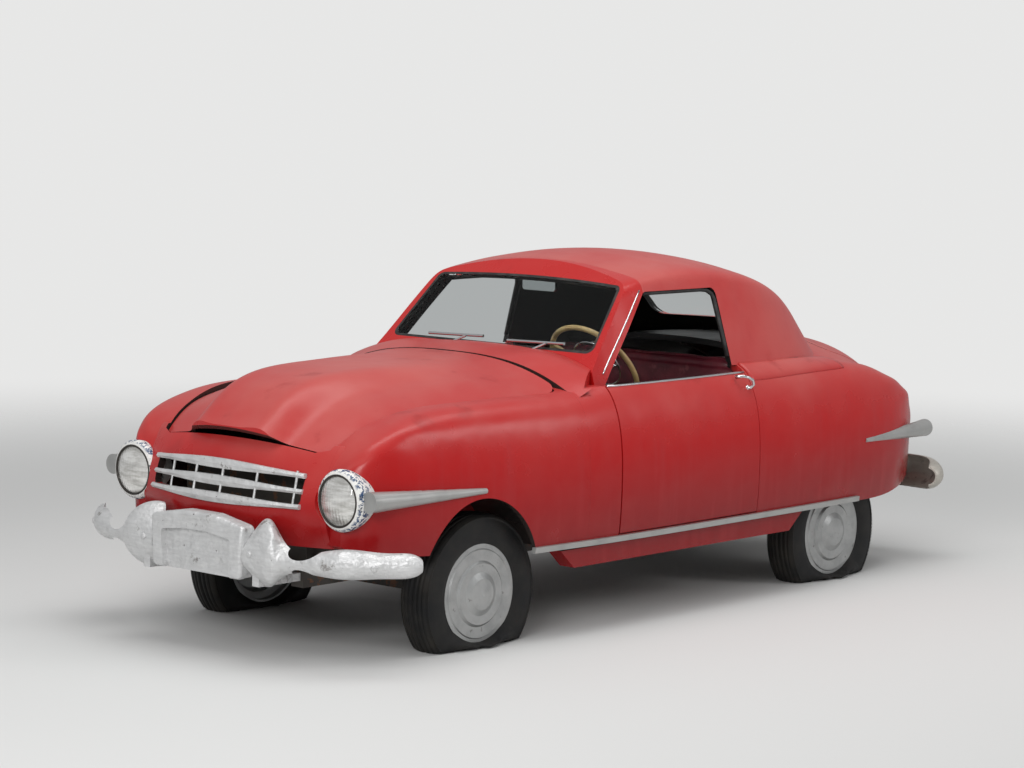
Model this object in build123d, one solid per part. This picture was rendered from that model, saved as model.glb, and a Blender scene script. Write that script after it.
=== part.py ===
"""Compact convertible of the late 1940s with a two-piece steel top.

Frame: +Z up, the front faces -Y, +X is the car's own left side. The origin is on the
ground, midway between the axles. Lengths are in millimetres.
"""
from build123d import *
from math import atan2, cos, radians, sin, sqrt
import os

# ---------------------------------------------------------------- driving dimensions
WHEELBASE = 2286.0
TRACK = 1176.0                   # between tyre centre planes
HUB_HEIGHT = 206.0               # the tyres are flat, so the hubs sit low
OVERHANG_TIP_Y = 2010.0          # both bumpers reach this far from the origin
FRONT_AXLE_Y = -WHEELBASE / 2
REAR_AXLE_Y = WHEELBASE / 2
WHEEL_X = TRACK / 2

TYRE_RADIUS = 310.0
TYRE_WIDTH = 150.0
BEAD_RADIUS = 184.0              # where the tyre grips the rim
RIM_RADIUS = 192.0               # outer edge of the rim flange
RIM_WIDTH = 118.0
CAP_RADIUS = 170.0
AXLE_RADIUS = 20.0
KINGPIN_X = 500.0
KINGPIN_RADIUS = 13.0

SKIN = 26.0                      # whole thickness of a body wall
DOOR_WALL = 66.0                 # whole thickness of a door
PANEL_GAP = 7.0                  # shut line round anything that opens
SEAT_GAP = 0.3                   # joint line between pieces that bear on each other

WAIST_Z = 564.0                  # height of the widest part of the sides
SIDE_RISE = 590.0                # the sides' superellipse would close this far above it
SHOULDER = 8.0                   # sharpness of the turn from side to top
BODY_BOTTOM_Z = 350.0
BELT_Z = 955.0
FLOOR_Z = 342.0
FLOOR_THICKNESS = 12.0
FRAME_BOTTOM_Z = 262.0
RAIL_X = 300.0
RAIL_HALF = 32.0
RAIL_FRONT_Y = -1770.0
RAIL_REAR_Y = 1850.0
ENGINE_MOUNT_Y = -1290.0

DOOR_FRONT_Y = -455.0
DOOR_REAR_Y = 440.0
DOOR_BOTTOM_Z = 376.0
FIREWALL_Y = -640.0
BULKHEAD_Y = 800.0
DASH_Y = -395.0
PILLAR_X = 598.0                 # the windscreen posts' feet stand outside this

HOOD_FRONT_HALF = 449.0          # half width of the hood at its front corners
HOOD_REAR_HALF = 608.0           # and at its rear corners
HOOD_MIDDLE = (560.0, -1200.0)   # half width and place of the seam halfway along
HOOD_REAR_Y = -655.0
HOOD_CORNER_Y = -1750.0
HOOD_TIP_Y = -1864.0
HOOD_CORNER_Z = 766.0
HOOD_TIP_Z = 846.0

DECK_LID_FRONT_Y = 1372.0
DECK_LID_REAR_Y = 1888.0
DECK_LID_HALF = 430.0

TOP_JOINT_Y = 392.0              # joint between the two halves of the top
HEADER_Y = -64.0                 # joint between windscreen frame and top
SCREEN_BASE = (-398.0, 1070.0)   # (y, z) of the glass at its lower edge
SCREEN_TOP = (-140.0, 1345.0)    # and at its upper edge

ARCH_CENTRE_Y = FRONT_AXLE_Y - 57.0
ARCH_HALF_LENGTH = 308.0
ARCH_HALF_HEIGHT = 380.0

LAMP_X = 564.0
LAMP_Z = 619.0
LAMP_FACE_Y = -1826.0
LAMP_RADIUS = 116.0
LENS_RADIUS = 92.0
RADIATOR_PANEL = 420.0
GRILLE_Z = 645.0
GRILLE_HALF = 400.0
GRILLE_HEIGHT = 116.0
GRILLE_BOW = 62.0                # how far a bar's ends stand behind its middle
GRILLE_STAYS = (-270.0, -120.0, 30.0, 200.0, 370.0)
PLATE_HOLE_SPACING = 178.0
PLATE_HOLE_Z = 396.0
PLATE_HOLE_RADIUS = 3.5

STEERING_HUB = (330.0, -110.0, 985.0)
STEERING_TILT = 36.0             # of the column above the horizontal
STEERING_RADIUS = 205.0


# ---------------------------------------------------------------- small helpers
def block(x, y, z):
    """Box between the given pairs of limits."""
    size = [high - low for low, high in (x, y, z)]
    return Pos(*[(low + high) / 2 for low, high in (x, y, z)]) * Box(*size)


def along_x(sketch, x):
    """Sketch drawn in (y, z), pushed along X between two limits."""
    return extrude(Plane.YZ.offset(x[0]) * sketch, x[1] - x[0], dir=(1, 0, 0))


def along_y(sketch, y):
    """Sketch drawn in (x, z), pushed along Y between two limits."""
    return extrude(Plane.XZ.offset(-y[0]) * sketch, y[1] - y[0], dir=(0, 1, 0))


def along_z(sketch, z):
    """Sketch drawn in (x, y), pushed up between two limits."""
    return extrude(Plane.XY.offset(z[0]) * sketch, z[1] - z[0], dir=(0, 0, 1))


def polygon(*points):
    return make_face(Polyline(*points, close=True))


def rod(start, end, radius, end_radius=None):
    """Round bar or cone frustum between two points."""
    axis = Vector(*end) - Vector(*start)
    frame = Plane(origin=start, z_dir=axis)
    if end_radius is None:
        return frame * extrude(Circle(radius), axis.length)
    tip = frame.offset(axis.length) * Circle(end_radius)
    return loft([frame * Circle(radius), tip])


def mirrored(shape):
    return mirror(shape, Plane.YZ)


def pair(shape):
    """The shape and its twin on the other side of the car."""
    return Compound(children=[*shape.solids(), *mirrored(shape).solids()])


def largest(shape):
    return max(shape.solids(), key=lambda solid: solid.volume)


# ---------------------------------------------------------------- body volumes
def closed_ring(y, half):
    """Closed wire at y through one side's (x, z) points and their mirror images."""
    whole = [(-x, z) for x, z in reversed(half)] + half[1:]
    skin = Spline(*[Vector(x, y, z) for x, z in whole])
    return Wire([skin.edge(), Line(skin @ 1, skin @ 0).edge()])


def soft_least(first, second, sharpness):
    """Smooth stand-in for the lesser of two positive lengths."""
    return (first**-sharpness + second**-sharpness) ** (-1 / sharpness)


def pontoon_half(width, top, bottom, inset, drop):
    """One side of the body: a superellipse of power 3 that turns in under a flat top."""
    points = []
    for angle in (90, 60, 45, 34, 25, 17, 9, 0):
        x = width * cos(radians(angle)) ** (2 / 3)
        side = SIDE_RISE * sin(radians(angle)) ** (2 / 3)
        rise = soft_least(side, top - WAIST_Z, SHOULDER) if angle else 0.0
        points.append((x * (1 - inset / width), WAIST_Z + rise * (1 - inset / (top - WAIST_Z))))
    depth = WAIST_Z - bottom
    for share in (0.5, 1.0):
        points.append((width - inset - 13 * share**2 * depth / 200, WAIST_Z - (depth + drop) * share))
    return points


def pontoon(inset=0.0, drop=0.0):
    """The body from nose to tail, without hood or deck domes."""
    stations = [
        # y, half width, top, lower edge
        (-1800, 560, 690, 446),
        (-1772, 612, 742, 430),
        (-1700, 662, 822, 412),
        (-1600, 690, 876, 402),
        (-1450, 704, 922, 392),
        (-1200, 722, 944, 360),
        (-920, 748, 952, BODY_BOTTOM_Z),
        (-640, 768, 962, BODY_BOTTOM_Z),
        (DOOR_FRONT_Y, 775, 1024, BODY_BOTTOM_Z),
        (DOOR_REAR_Y, 777, 1030, BODY_BOTTOM_Z),
        (800, 774, 1008, BODY_BOTTOM_Z),
        (1150, 764, 968, BODY_BOTTOM_Z),
        (1400, 746, 926, 352),
        (1570, 716, 856, 376),
        (1690, 668, 792, 410),
        (1770, 606, 728, 452),
        (1812, 540, 680, 490),
    ]
    first, last = stations[0][0], stations[-1][0]
    middle = (first + last) / 2
    rings = []
    for y, width, top, bottom in stations:
        shifted = middle + (y - middle) * (1 - 2 * inset / (last - first))
        rings.append(closed_ring(shifted, pontoon_half(width, top, bottom, inset, drop)))
    return Solid.make_loft(rings, False)


def dome_half(width, top, fall, ridge, inset):
    """Half of a swell: one even curve where ridge is 0, a bold centre ridge with flanks where it is 1."""
    points = []
    for share in (0.0, 0.22, 0.4, 0.5, 0.6, 0.72, 0.86, 1.0, 1.08):
        flank = min(max((share - 0.38) / 0.27, 0.0), 1.0)
        stepped = 0.5 * flank**2 * (3 - 2 * flank) + 0.5 * share**2.2
        even = share**2.7
        points.append((width * share, top - inset - fall * (ridge * stepped + (1 - ridge) * even)))
    return points


def dome(stations, inset):
    rings = [closed_ring(y, dome_half(*shape, inset)) for y, *shape in stations]
    return Solid.make_loft(rings, False)


def hood_front_face(inset=0.0, depth=600.0):
    """Everything behind the hood's bowed front edge, in plan."""
    half = 700.0
    sag = (HOOD_CORNER_Y - HOOD_TIP_Y) * (half / HOOD_FRONT_HALF) ** 2
    tip = HOOD_TIP_Y + inset
    front = ThreePointArc((-half, tip + sag), (0, tip), (half, tip + sag))
    rear = Polyline((half, tip + sag), (half, 0), (-half, 0), (-half, tip + sag))
    return along_z(make_face(front + rear), (600, 600 + depth))


def hood_dome(inset=0.0):
    """Swell of hood and cowl between the fenders."""
    stations = [
        # y, half width at the seam, top, fall to the seam, ridge
        (-1885, 440, 836, 126, 1.0),
        (-1752, 450, 930, 158, 1.0),
        (-1650, 466, 992, 146, 1.0),
        (-1500, 486, 1032, 134, 0.9),
        (-1300, 512, 1045, 120, 0.65),
        (-1000, 566, 1051, 112, 0.25),
        (HOOD_REAR_Y, 632, 1060, 118, 0.0),
        (SCREEN_BASE[0] + 30, 648, 1076, 118, 0.0),
    ]
    return dome(stations, inset) & hood_front_face(inset)


def deck_dome(inset=0.0):
    """Swell of the rear deck between the rear fenders."""
    stations = [
        # y, half width at the seam, top, fall to the seam, ridge
        (BULKHEAD_Y - 60, 560, 1036, 60, 0.0),
        (1100, 552, 1040, 74, 0.0),
        (1400, 520, 1028, 104, 0.0),
        (1640, 478, 990, 138, 0.0),
        (1800, 440, 918, 148, 0.0),
        (1925, 390, 790, 130, 0.0),
    ]
    return dome(stations, inset)


def bowed_ring(z, half, front, sag, back):
    """Closed plan outline at z with a bowed end, for the nose and the tail."""
    edge = ThreePointArc((-half, front + sag, z), (0, front, z), (half, front + sag, z))
    rest = Polyline((half, front + sag, z), (half, back, z), (-half, back, z), (-half, front + sag, z))
    return Wire([edge.edge(), *rest.edges()])


def nose(inset=0.0, drop=0.0):
    """Panel that carries the grille and fills the space between the front fenders."""
    stations = [
        # z, foremost y at the middle
        (805 - inset, -1813),
        (760, -1850),
        (690, -1886),
        (600, -1914),
        (520, -1912),
        (430 - drop, -1880),
    ]
    rings = []
    for z, front in stations:
        rings.append(bowed_ring(z, 500 - inset, front + inset, 92, -1560))
    return Solid.make_loft(rings, False)


def tail(inset=0.0, drop=0.0):
    """Rear panel under the deck."""
    stations = [
        # z, rearmost y at the middle
        (820 - inset, 1872),
        (740, 1926),
        (640, 1940),
        (540, 1926),
        (440 - drop, 1880),
    ]
    rings = []
    for z, rear in stations:
        rings.append(bowed_ring(z, 545 - inset, rear - inset, -112, 1500))
    return Solid.make_loft(rings, False)


def greenhouse_half(foot, cant, top, fall):
    """One side of the top: a leaning straight side under a cambered roof."""
    base = 860.0
    lean = (foot - cant) / (0.75 * (top - BELT_Z))
    points = []
    for share in (0.0, 0.3, 0.55, 0.75, 0.88, 0.96, 1.0, 1.04, 1.09):
        x = cant * share
        roof = top - fall * share**2 - base
        side = BELT_Z + (foot - x) / lean - base
        points.append((x, base + soft_least(roof, side, 16.0)))
    for share in (0.3, 0.0, -0.25):
        z = BELT_Z + share * (top - BELT_Z)
        points.append((foot - (z - BELT_Z) * lean, z))
    return points


def greenhouse(inset=0.0):
    """Outer form of windscreen frame and top, or its hollow when drawn in."""
    stations = [
        # y, half width at the belt, half width at the roof's edge, top, camber
        (-560, 640, 540, 1392, 66),
        (-150, 640, 540, 1396, 66),
        (100, 644, 540, 1434, 70),
        (300, 648, 542, 1441, 72),
        (540, 650, 540, 1421, 74),
        (760, 640, 520, 1382, 76),
        (940, 612, 478, 1330, 78),
        (1090, 562, 420, 1262, 80),
        (1230, 476, 342, 1160, 80),
        (1330, 390, 270, 1066, 76),
    ]
    rings = []
    for y, foot, cant, top, fall in stations:
        half = greenhouse_half(foot - inset, cant - inset, top - inset, fall)
        rings.append(closed_ring(y - (inset if y > 1200 else 0), half))
    return Solid.make_loft(rings, False)


def behind_screen(offset=0.0):
    """Half space behind the windscreen's plane, moved along its normal by offset."""
    (y0, z0), (y1, z1) = SCREEN_BASE, SCREEN_TOP
    length = sqrt((y1 - y0) ** 2 + (z1 - z0) ** 2)
    along = ((y1 - y0) / length, (z1 - z0) / length)
    normal = (along[1], -along[0])
    low = (y0 - 400 * along[0] + offset * normal[0], z0 - 400 * along[1] + offset * normal[1])
    high = (y0 + 900 * along[0] + offset * normal[0], z0 + 900 * along[1] + offset * normal[1])
    return along_x(polygon(low, high, (3000, high[1]), (3000, low[1])), (-1000, 1000))


# ---------------------------------------------------------------- cutters
def hood_plan(grow):
    """Plan prism of the hood, larger by grow all round."""
    front, corner, rear = HOOD_TIP_Y - grow, HOOD_CORNER_Y - grow, HOOD_REAR_Y + grow
    half, rear_half = HOOD_FRONT_HALF + grow, HOOD_REAR_HALF + grow
    middle, middle_y = HOOD_MIDDLE[0] + grow, HOOD_MIDDLE[1]
    edge = ThreePointArc((-half, corner), (0, front), (half, corner))
    left = ThreePointArc((half, corner), (middle, middle_y), (rear_half, rear))
    back = Line((rear_half, rear), (-rear_half, rear))
    right = ThreePointArc((-rear_half, rear), (-middle, middle_y), (-half, corner))
    face = make_face(edge + left + back + right)
    return along_z(fillet(face.vertices().sort_by(Axis.Y)[-2:], 50 + grow), (700, 1200))


def above_nose_line(offset):
    """Half space above the slanting plane that parts the hood's lip from the nose."""
    slope = (HOOD_CORNER_Z - HOOD_TIP_Z) / (HOOD_CORNER_Y - HOOD_TIP_Y)
    z_at = lambda y: HOOD_TIP_Z + slope * (y - HOOD_TIP_Y) + offset
    face = polygon((-2200, z_at(-2200)), (-1400, z_at(-1400)), (-200, z_at(-1400)), (-200, 1600), (-2200, 1600))
    return along_x(face, (-900, 900))


def arch_cut(x):
    ellipse = Pos(ARCH_CENTRE_Y, HUB_HEIGHT) * Ellipse(ARCH_HALF_LENGTH, ARCH_HALF_HEIGHT)
    return along_x(ellipse, x)


def door_prism(grow, x):
    """Side view of the door, grown or shrunk all round."""
    front, rear = DOOR_FRONT_Y - grow, DOOR_REAR_Y + grow
    low, high = DOOR_BOTTOM_Z - grow, 1100.0
    return along_x(polygon((front, low), (front, high), (rear, high), (rear, low)), x)


def deck_lid_plan(grow):
    half, front, rear = DECK_LID_HALF + grow, DECK_LID_FRONT_Y - grow, DECK_LID_REAR_Y + grow
    lid = Pos(0, (front + rear) / 2) * RectangleRounded(2 * half, rear - front, 60 + grow)
    return along_z(lid, (760, 1260))


# ---------------------------------------------------------------- body panels
def side_range(side, near, far):
    return (near, far) if side > 0 else (-far, -near)


def engine_bay_panels():
    """Hood, nose panel and front fenders."""
    outer = pontoon() + nose()
    shell = outer - (pontoon(SKIN, 400) + nose(SKIN, 400))
    hood = (hood_dome() - hood_dome(SKIN)) & hood_plan(-PANEL_GAP / 2) & above_nose_line(0)
    shell -= hood_plan(PANEL_GAP / 2) & above_nose_line(-10)
    shell &= block((-900, 900), (-2100, FIREWALL_Y), (0, 1400))
    for side in (1, -1):
        shell -= arch_cut(side_range(side, 340, 900))
        shell -= pod_form(side, SEAT_GAP)
        shell -= rod((side * LAMP_X, LAMP_FACE_Y - 60, LAMP_Z), (side * LAMP_X, LAMP_FACE_Y, LAMP_Z), LAMP_RADIUS - 8)
    seam = 478.0
    front = block((-seam, seam), (-2100, -1600), (0, 1400))
    panel = shell & front
    grille = Pos(0, GRILLE_Z) * RectangleRounded(2 * GRILLE_HALF, GRILLE_HEIGHT, 22)
    panel -= along_y(grille, (-2080, -1700))
    panels = {"hood": largest(hood), "nose_panel": largest(panel)}
    for side, name in ((1, "front_fender_left"), (-1, "front_fender_right")):
        half = shell & block(side_range(side, 300, 900), (-2100, FIREWALL_Y), (0, 1400))
        half -= block((-seam - SEAT_GAP, seam + SEAT_GAP), (-2100, -1600), (0, 1400))
        panels[name] = largest(half + wheelhouse(side))
    return panels


def wheelhouse(side):
    """Inner fender: half a barrel over the wheel, closed on its inner side."""
    x = side_range(side, 342, 800)
    wall = side_range(side, 342, 350)
    around = Pos(FRONT_AXLE_Y - 15, HUB_HEIGHT)
    shape = along_x(around * (Ellipse(408, 412) - Ellipse(400, 404)), x) + along_x(around * Ellipse(408, 412), wall)
    room = pontoon(SKIN / 2) & block((-900, 900), (-1700, FIREWALL_Y - 20), (BODY_BOTTOM_Z, 900))
    return shape & room


def slab(y):
    """Everything between two planes across the car."""
    return block((-1000, 1000), y, (-200, 1700))


def belt_cut(grow=0.0):
    """Room over the belt line, beside the windscreen posts and some way ahead of them."""
    edge = PILLAR_X - SEAT_GAP - grow
    plan = polygon((edge, 0), (edge, DOOR_FRONT_Y), (edge + 110, FIREWALL_Y), (900, FIREWALL_Y), (900, 0))
    return pair(along_z(plan, (BELT_Z + 2 - grow, 1400)))


def cowl():
    """Scuttle between hood and windscreen, with the posts that carry the doors."""
    span = slab((FIREWALL_Y + SEAT_GAP, DASH_Y))
    shell = (pontoon() & span) + (hood_dome() & span) - belt_cut()
    shell -= (pontoon(SKIN, 400) & span) + (hood_dome(SKIN) & span) - belt_cut(SKIN)
    shell -= hood_plan(PANEL_GAP / 2)
    for side in (1, -1):
        shell -= block(side_range(side, PILLAR_X - SEAT_GAP, 900), (DOOR_FRONT_Y - PANEL_GAP / 2, 0), (0, 1400))
    firewall = block((-700, 700), (FIREWALL_Y + SEAT_GAP, FIREWALL_Y + 6), (FLOOR_Z + FLOOR_THICKNESS + SEAT_GAP, 1040))
    firewall &= pontoon(SKIN / 2, 400) + hood_dome(SKIN / 2)
    return largest(shell + firewall)


def rear_body():
    """Rear quarters, deck, tail and the sills under the doors, in one piece."""
    span = slab((DOOR_FRONT_Y + SEAT_GAP, 2200))
    lid_room = deck_lid_plan(PANEL_GAP / 2) & block((-600, 600), (900, 2200), (840 - PANEL_GAP, 1400))
    shell = (pontoon() & span) + deck_dome() + tail()
    shell -= (pontoon(SKIN, 400) & span) + deck_dome(SKIN) + tail(SKIN, 400)
    shell -= lid_room
    shell -= block((-592, 592), (DOOR_FRONT_Y, BULKHEAD_Y), (700, 1300))
    for side in (1, -1):
        shell -= block(side_range(side, 300, 900), (DOOR_FRONT_Y, DOOR_REAR_Y), (DOOR_BOTTOM_Z, 1300))
    bulkhead = block((-700, 700), (BULKHEAD_Y - 6, BULKHEAD_Y), (FLOOR_Z + FLOOR_THICKNESS + SEAT_GAP, 960))
    return largest(shell + (bulkhead & pontoon(SKIN / 2, 400)))


def trunk_lid():
    plan = deck_lid_plan(-PANEL_GAP / 2) & block((-600, 600), (900, 2200), (840, 1400))
    span = slab((1200, 2200))
    outer = (pontoon() & span) + deck_dome() + tail()
    inner = (pontoon(SKIN, 400) & span) + deck_dome(SKIN) + tail(SKIN, 400)
    return largest((outer & plan) - inner)


def door(side):
    """Door with its inner face, as thick as the whole door; the window is down."""
    span = slab((DOOR_FRONT_Y - 40, DOOR_REAR_Y + 40))
    hollow = pontoon(DOOR_WALL, 400) & span
    wall = (pontoon() & span) - hollow - Pos(0, 0, 90) * hollow
    x = side_range(side, 500, 900)
    return largest(wall & door_prism(-PANEL_GAP / 2, x) & block(x, (-600, 600), (0, BELT_Z)))


def lower_body(grow=SEAT_GAP):
    """Solid stand-in for the finished lower body, for cutting what rests on it."""
    return pontoon(-grow) + hood_dome(-grow) + deck_dome(-grow)


def screen_opening(shrink=0.0):
    """Prism through the windscreen opening, along the glass's normal."""
    (y0, z0), (y1, z1) = SCREEN_BASE, SCREEN_TOP
    rake = atan2(z1 - z0, y1 - y0)
    frame = Plane(origin=(0, y0, z0), x_dir=(1, 0, 0), z_dir=(0, -sin(rake), cos(rake)))
    height = sqrt((y1 - y0) ** 2 + (z1 - z0) ** 2)
    half_low, half_high, bow = 556 - shrink, 500 - shrink, 22
    low, high = shrink, height - shrink
    edge = (
        Line((-half_low, low), (half_low, low)) + Line((half_low, low), (half_high, high - bow))
        + ThreePointArc((half_high, high - bow), (0, high), (-half_high, high - bow))
        + Line((-half_high, high - bow), (-half_low, low))
    )
    face = make_face(edge)
    face = fillet(face.vertices(), 34 - shrink / 2)
    return Location(frame) * face, frame


def side_window():
    """Prism through both side openings above the doors."""
    front_low, front_high = (SCREEN_BASE[0] + 12, BELT_Z), (-60.0, 1304.0)
    face = polygon((front_low[0] - 150, BELT_Z - 160), front_high, (398, 1304), (412, BELT_Z - 160))
    upper = face.vertices().sort_by(Axis.Y)[-2:]
    return along_x(fillet(upper, 34), (-1000, 1000))


def rear_window_face(grow):
    return Pos(0, 1158) * RectangleRounded(760 + 2 * grow, 128 + 2 * grow, 44 + grow)


def top_panels():
    """Windscreen frame, the two halves of the top, and the panes that they hold."""
    outer = greenhouse() & behind_screen(0)
    shell = outer - (greenhouse(SKIN) & behind_screen(SKIN))
    opening, _ = screen_opening()
    shell -= extrude(opening, 120, both=True)
    shell -= side_window()
    rear_hole = along_y(rear_window_face(0), (900, 1500))
    shell -= rear_hole
    feet = pair(block((PILLAR_X, 700), (DOOR_FRONT_Y - PANEL_GAP / 2 + SEAT_GAP, HEADER_Y), (BELT_Z - 8, 1060)))
    frame = shell & slab((-900, HEADER_Y))
    frame = (frame - lower_body()) + (frame & feet)
    shell -= lower_body()
    parts = {}
    parts["windscreen_frame"] = largest(frame)
    parts["roof_front_panel"] = largest(shell & slab((HEADER_Y + SEAT_GAP, TOP_JOINT_Y)))
    parts["roof_rear_panel"] = largest(shell & slab((TOP_JOINT_Y + SEAT_GAP, 1600)))
    pane, _ = screen_opening(12)
    hole, _ = screen_opening(SEAT_GAP)
    seal = extrude(hole, -24) - extrude(pane, -24) - lower_body()
    glass, _ = screen_opening(12 + SEAT_GAP)
    parts["windscreen_seal"] = largest(seal)
    back = along_y(rear_window_face(-SEAT_GAP), (900, 1500))
    rear_pane = largest((greenhouse(9) - greenhouse(15)) & back)
    parts["window_glass"] = Compound(children=[extrude(glass, -8).solids()[0], rear_pane])
    return parts


# ---------------------------------------------------------------- wheels and running gear
def tyre(side, y):
    """Deflated tyre: round above and flat where it lies on the ground."""
    half, bead, flange = TYRE_WIDTH / 2, RIM_WIDTH / 2 - 6, RIM_RADIUS + 1.5
    outline = (
        Polyline((-bead, flange), (-bead, BEAD_RADIUS), (bead, BEAD_RADIUS), (bead, flange))
        + ThreePointArc((bead, flange), (half, 250), (half - 18, 300))
        + ThreePointArc((half - 18, 300), (0, TYRE_RADIUS), (18 - half, 300))
        + ThreePointArc((18 - half, 300), (-half, 250), (-bead, flange))
    )
    ring = revolve(Plane.XY * make_face(outline), Axis.X)
    ring -= block((-300, 300), (-400, 400), (-500, -HUB_HEIGHT))
    return Pos(side * WHEEL_X, y, HUB_HEIGHT) * largest(ring)


def wheel_disc(side, y):
    """Pressed rim with its domed cap, open toward the brake drum."""
    rim = RIM_WIDTH / 2
    seat = BEAD_RADIUS - SEAT_GAP
    profile = [
        (-rim, RIM_RADIUS), (-rim + 5.6, RIM_RADIUS), (-rim + 5.6, seat), (-26, seat), (-20, 158), (14, 158),
        (24, seat), (rim - 5.6, seat), (rim - 5.6, RIM_RADIUS), (rim, RIM_RADIUS), (rim, CAP_RADIUS + 4),
        (rim + 4, CAP_RADIUS), (rim + 2, 128), (rim + 10, 118), (rim + 9, 84), (rim + 20, 60), (rim + 24, 0),
        (rim + 18, 0), (rim + 12, 66), (rim - 8, 140), (rim - 10, 168), (22, 152), (8, 130), (8, 58), (-12, 50),
        (-12, AXLE_RADIUS + SEAT_GAP), (-17, AXLE_RADIUS + SEAT_GAP), (-17, 62), (2, 66), (2, 136), (10, 150),
        (-24, 150), (-34, 176), (-rim, 178),
    ]
    disc = revolve(make_face(Polyline(*profile, close=True)), Axis.X)
    placed = disc if side > 0 else mirrored(disc)
    return Pos(side * WHEEL_X, y, HUB_HEIGHT) * placed


def knuckle(side):
    """Steering knuckle: forked body on the kingpin, stub axle and steering arm."""
    z = HUB_HEIGHT
    fork = block((KINGPIN_X - 24, KINGPIN_X + 34), (-24, 24), (z - 74, z + 74))
    fork -= block((KINGPIN_X - 40, KINGPIN_X + 26), (-40, 40), (z - 42, z + 42))
    pin = rod((KINGPIN_X, 0, z - 74), (KINGPIN_X, 0, z + 74), KINGPIN_RADIUS)
    stub = rod((KINGPIN_X + 28, 0, z), (WHEEL_X - 10, 0, z), AXLE_RADIUS)
    flange = rod((KINGPIN_X + 28, 0, z), (KINGPIN_X + 44, 0, z), 92)
    arm = block((KINGPIN_X - 20, KINGPIN_X + 20), (16, 132), (z - 74, z - 58))
    whole = Pos(0, FRONT_AXLE_Y, 0) * (fork + pin + stub + flange + arm)
    return largest(whole if side > 0 else mirrored(whole))


def front_axle():
    """Cross beam with an eye for each kingpin, and a coil-spring tower either side."""
    z = HUB_HEIGHT
    beam = block((-KINGPIN_X + 26, KINGPIN_X - 26), (-32, 32), (z - 26, z + 26))
    eye = Pos(KINGPIN_X, 0, z) * Cylinder(20, 74)
    bore = Pos(KINGPIN_X, 0, z) * Cylinder(KINGPIN_RADIUS + SEAT_GAP, 200)
    arm = block((KINGPIN_X - 60, KINGPIN_X), (-14, 14), (z - 22, z + 22))
    end = arm + eye
    whole = beam + end + mirrored(end)
    whole -= bore
    whole -= mirrored(bore)
    tower = block((250, 316), (-38, 38), (z + 26, FRAME_BOTTOM_Z - SEAT_GAP))
    whole += tower + mirrored(tower)
    return largest(Pos(0, FRONT_AXLE_Y, 0) * whole)


def rear_axle():
    """Tube axle with its differential housing and a backing plate at each end."""
    z = HUB_HEIGHT
    tube = rod((-WHEEL_X + 10, 0, z), (WHEEL_X - 10, 0, z), AXLE_RADIUS)
    casing = rod((-KINGPIN_X, 0, z), (KINGPIN_X, 0, z), 33)
    bowl = Pos(0, 0, z) * Sphere(112)
    plate = rod((KINGPIN_X, 0, z), (KINGPIN_X + 16, 0, z), 118)
    whole = tube + casing + bowl + plate + mirrored(plate)
    return largest(Pos(0, REAR_AXLE_Y, 0) * whole)


def leaf_springs():
    """A semi-elliptic spring each side, hung from the rails by its eyes."""
    low = HUB_HEIGHT + 33 + SEAT_GAP
    eye_z = FRAME_BOTTOM_Z + 20
    y0, y1 = REAR_AXLE_Y - 470, REAR_AXLE_Y + 470
    arc = ThreePointArc((y0, eye_z), (REAR_AXLE_Y, low), (y1, eye_z))
    top = ThreePointArc((y1, eye_z + 14), (REAR_AXLE_Y, low + 34), (y0, eye_z + 14))
    leaf = arc + Line((y1, eye_z), (y1, eye_z + 14)) + top + Line((y0, eye_z + 14), (y0, eye_z))
    spring = along_x(make_face(leaf), (RAIL_X + 88, RAIL_X + 132))
    saddle = block((RAIL_X + 88, RAIL_X + 132), (REAR_AXLE_Y - 34, REAR_AXLE_Y + 34), (low, low + 34))
    spring += saddle
    for y in (y0, y1):
        spring += rod((RAIL_X + RAIL_HALF + SEAT_GAP, y, eye_z + 4), (RAIL_X + 136, y, eye_z + 4), 19)
    return pair(largest(spring))


def chassis_frame():
    """Two box rails tied by cross members."""
    rail = block((RAIL_X - RAIL_HALF, RAIL_X + RAIL_HALF), (RAIL_FRONT_Y, RAIL_REAR_Y), (FRAME_BOTTOM_Z, FLOOR_Z - SEAT_GAP))
    frame = rail + mirrored(rail)
    for y in (RAIL_FRONT_Y + 40, ENGINE_MOUNT_Y, FIREWALL_Y - 60, 640, RAIL_REAR_Y - 60):
        frame += block((-RAIL_X, RAIL_X), (y - 30, y + 30), (FRAME_BOTTOM_Z + 12, FLOOR_Z - 14))
    radiator = block((-285, 285), (-1706, -1654), (FRAME_BOTTOM_Z + 40, 760))
    panel = block((-RADIATOR_PANEL, RADIATOR_PANEL), (-1672, -1660), (FRAME_BOTTOM_Z + 40, 740))
    return largest(frame + radiator + panel)


def cabin_floor():
    """Cabin floor, reaching the inside of the body all round."""
    floor = block((-800, 800), (FIREWALL_Y + SEAT_GAP, BULKHEAD_Y), (FLOOR_Z, FLOOR_Z + FLOOR_THICKNESS))
    return largest(floor & pontoon(SKIN + SEAT_GAP, 400))


def boot_floor():
    """Trunk floor with an inner wheelhouse wall on either side."""
    z = 486.0
    rear = BULKHEAD_Y + SEAT_GAP
    shape = block((-464, 464), (rear, 2000), (z, z + 8))
    wall = block((456, 464), (rear, 1560), (FLOOR_Z, 760))
    shape += wall + mirrored(wall)
    room = pontoon(SKIN + SEAT_GAP, 400) + tail(SKIN + SEAT_GAP, 400)
    return largest(shape & room)


def floor_pan():
    return Compound(children=[cabin_floor(), boot_floor()])


def sill_pans():
    """Painted pans that hang under the body between the wheels."""
    outline = polygon((-783, FLOOR_Z - SEAT_GAP), (-702, 268), (700, 268), (790, FLOOR_Z - SEAT_GAP))
    return pair(along_x(outline, (672, 744)))


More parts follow.
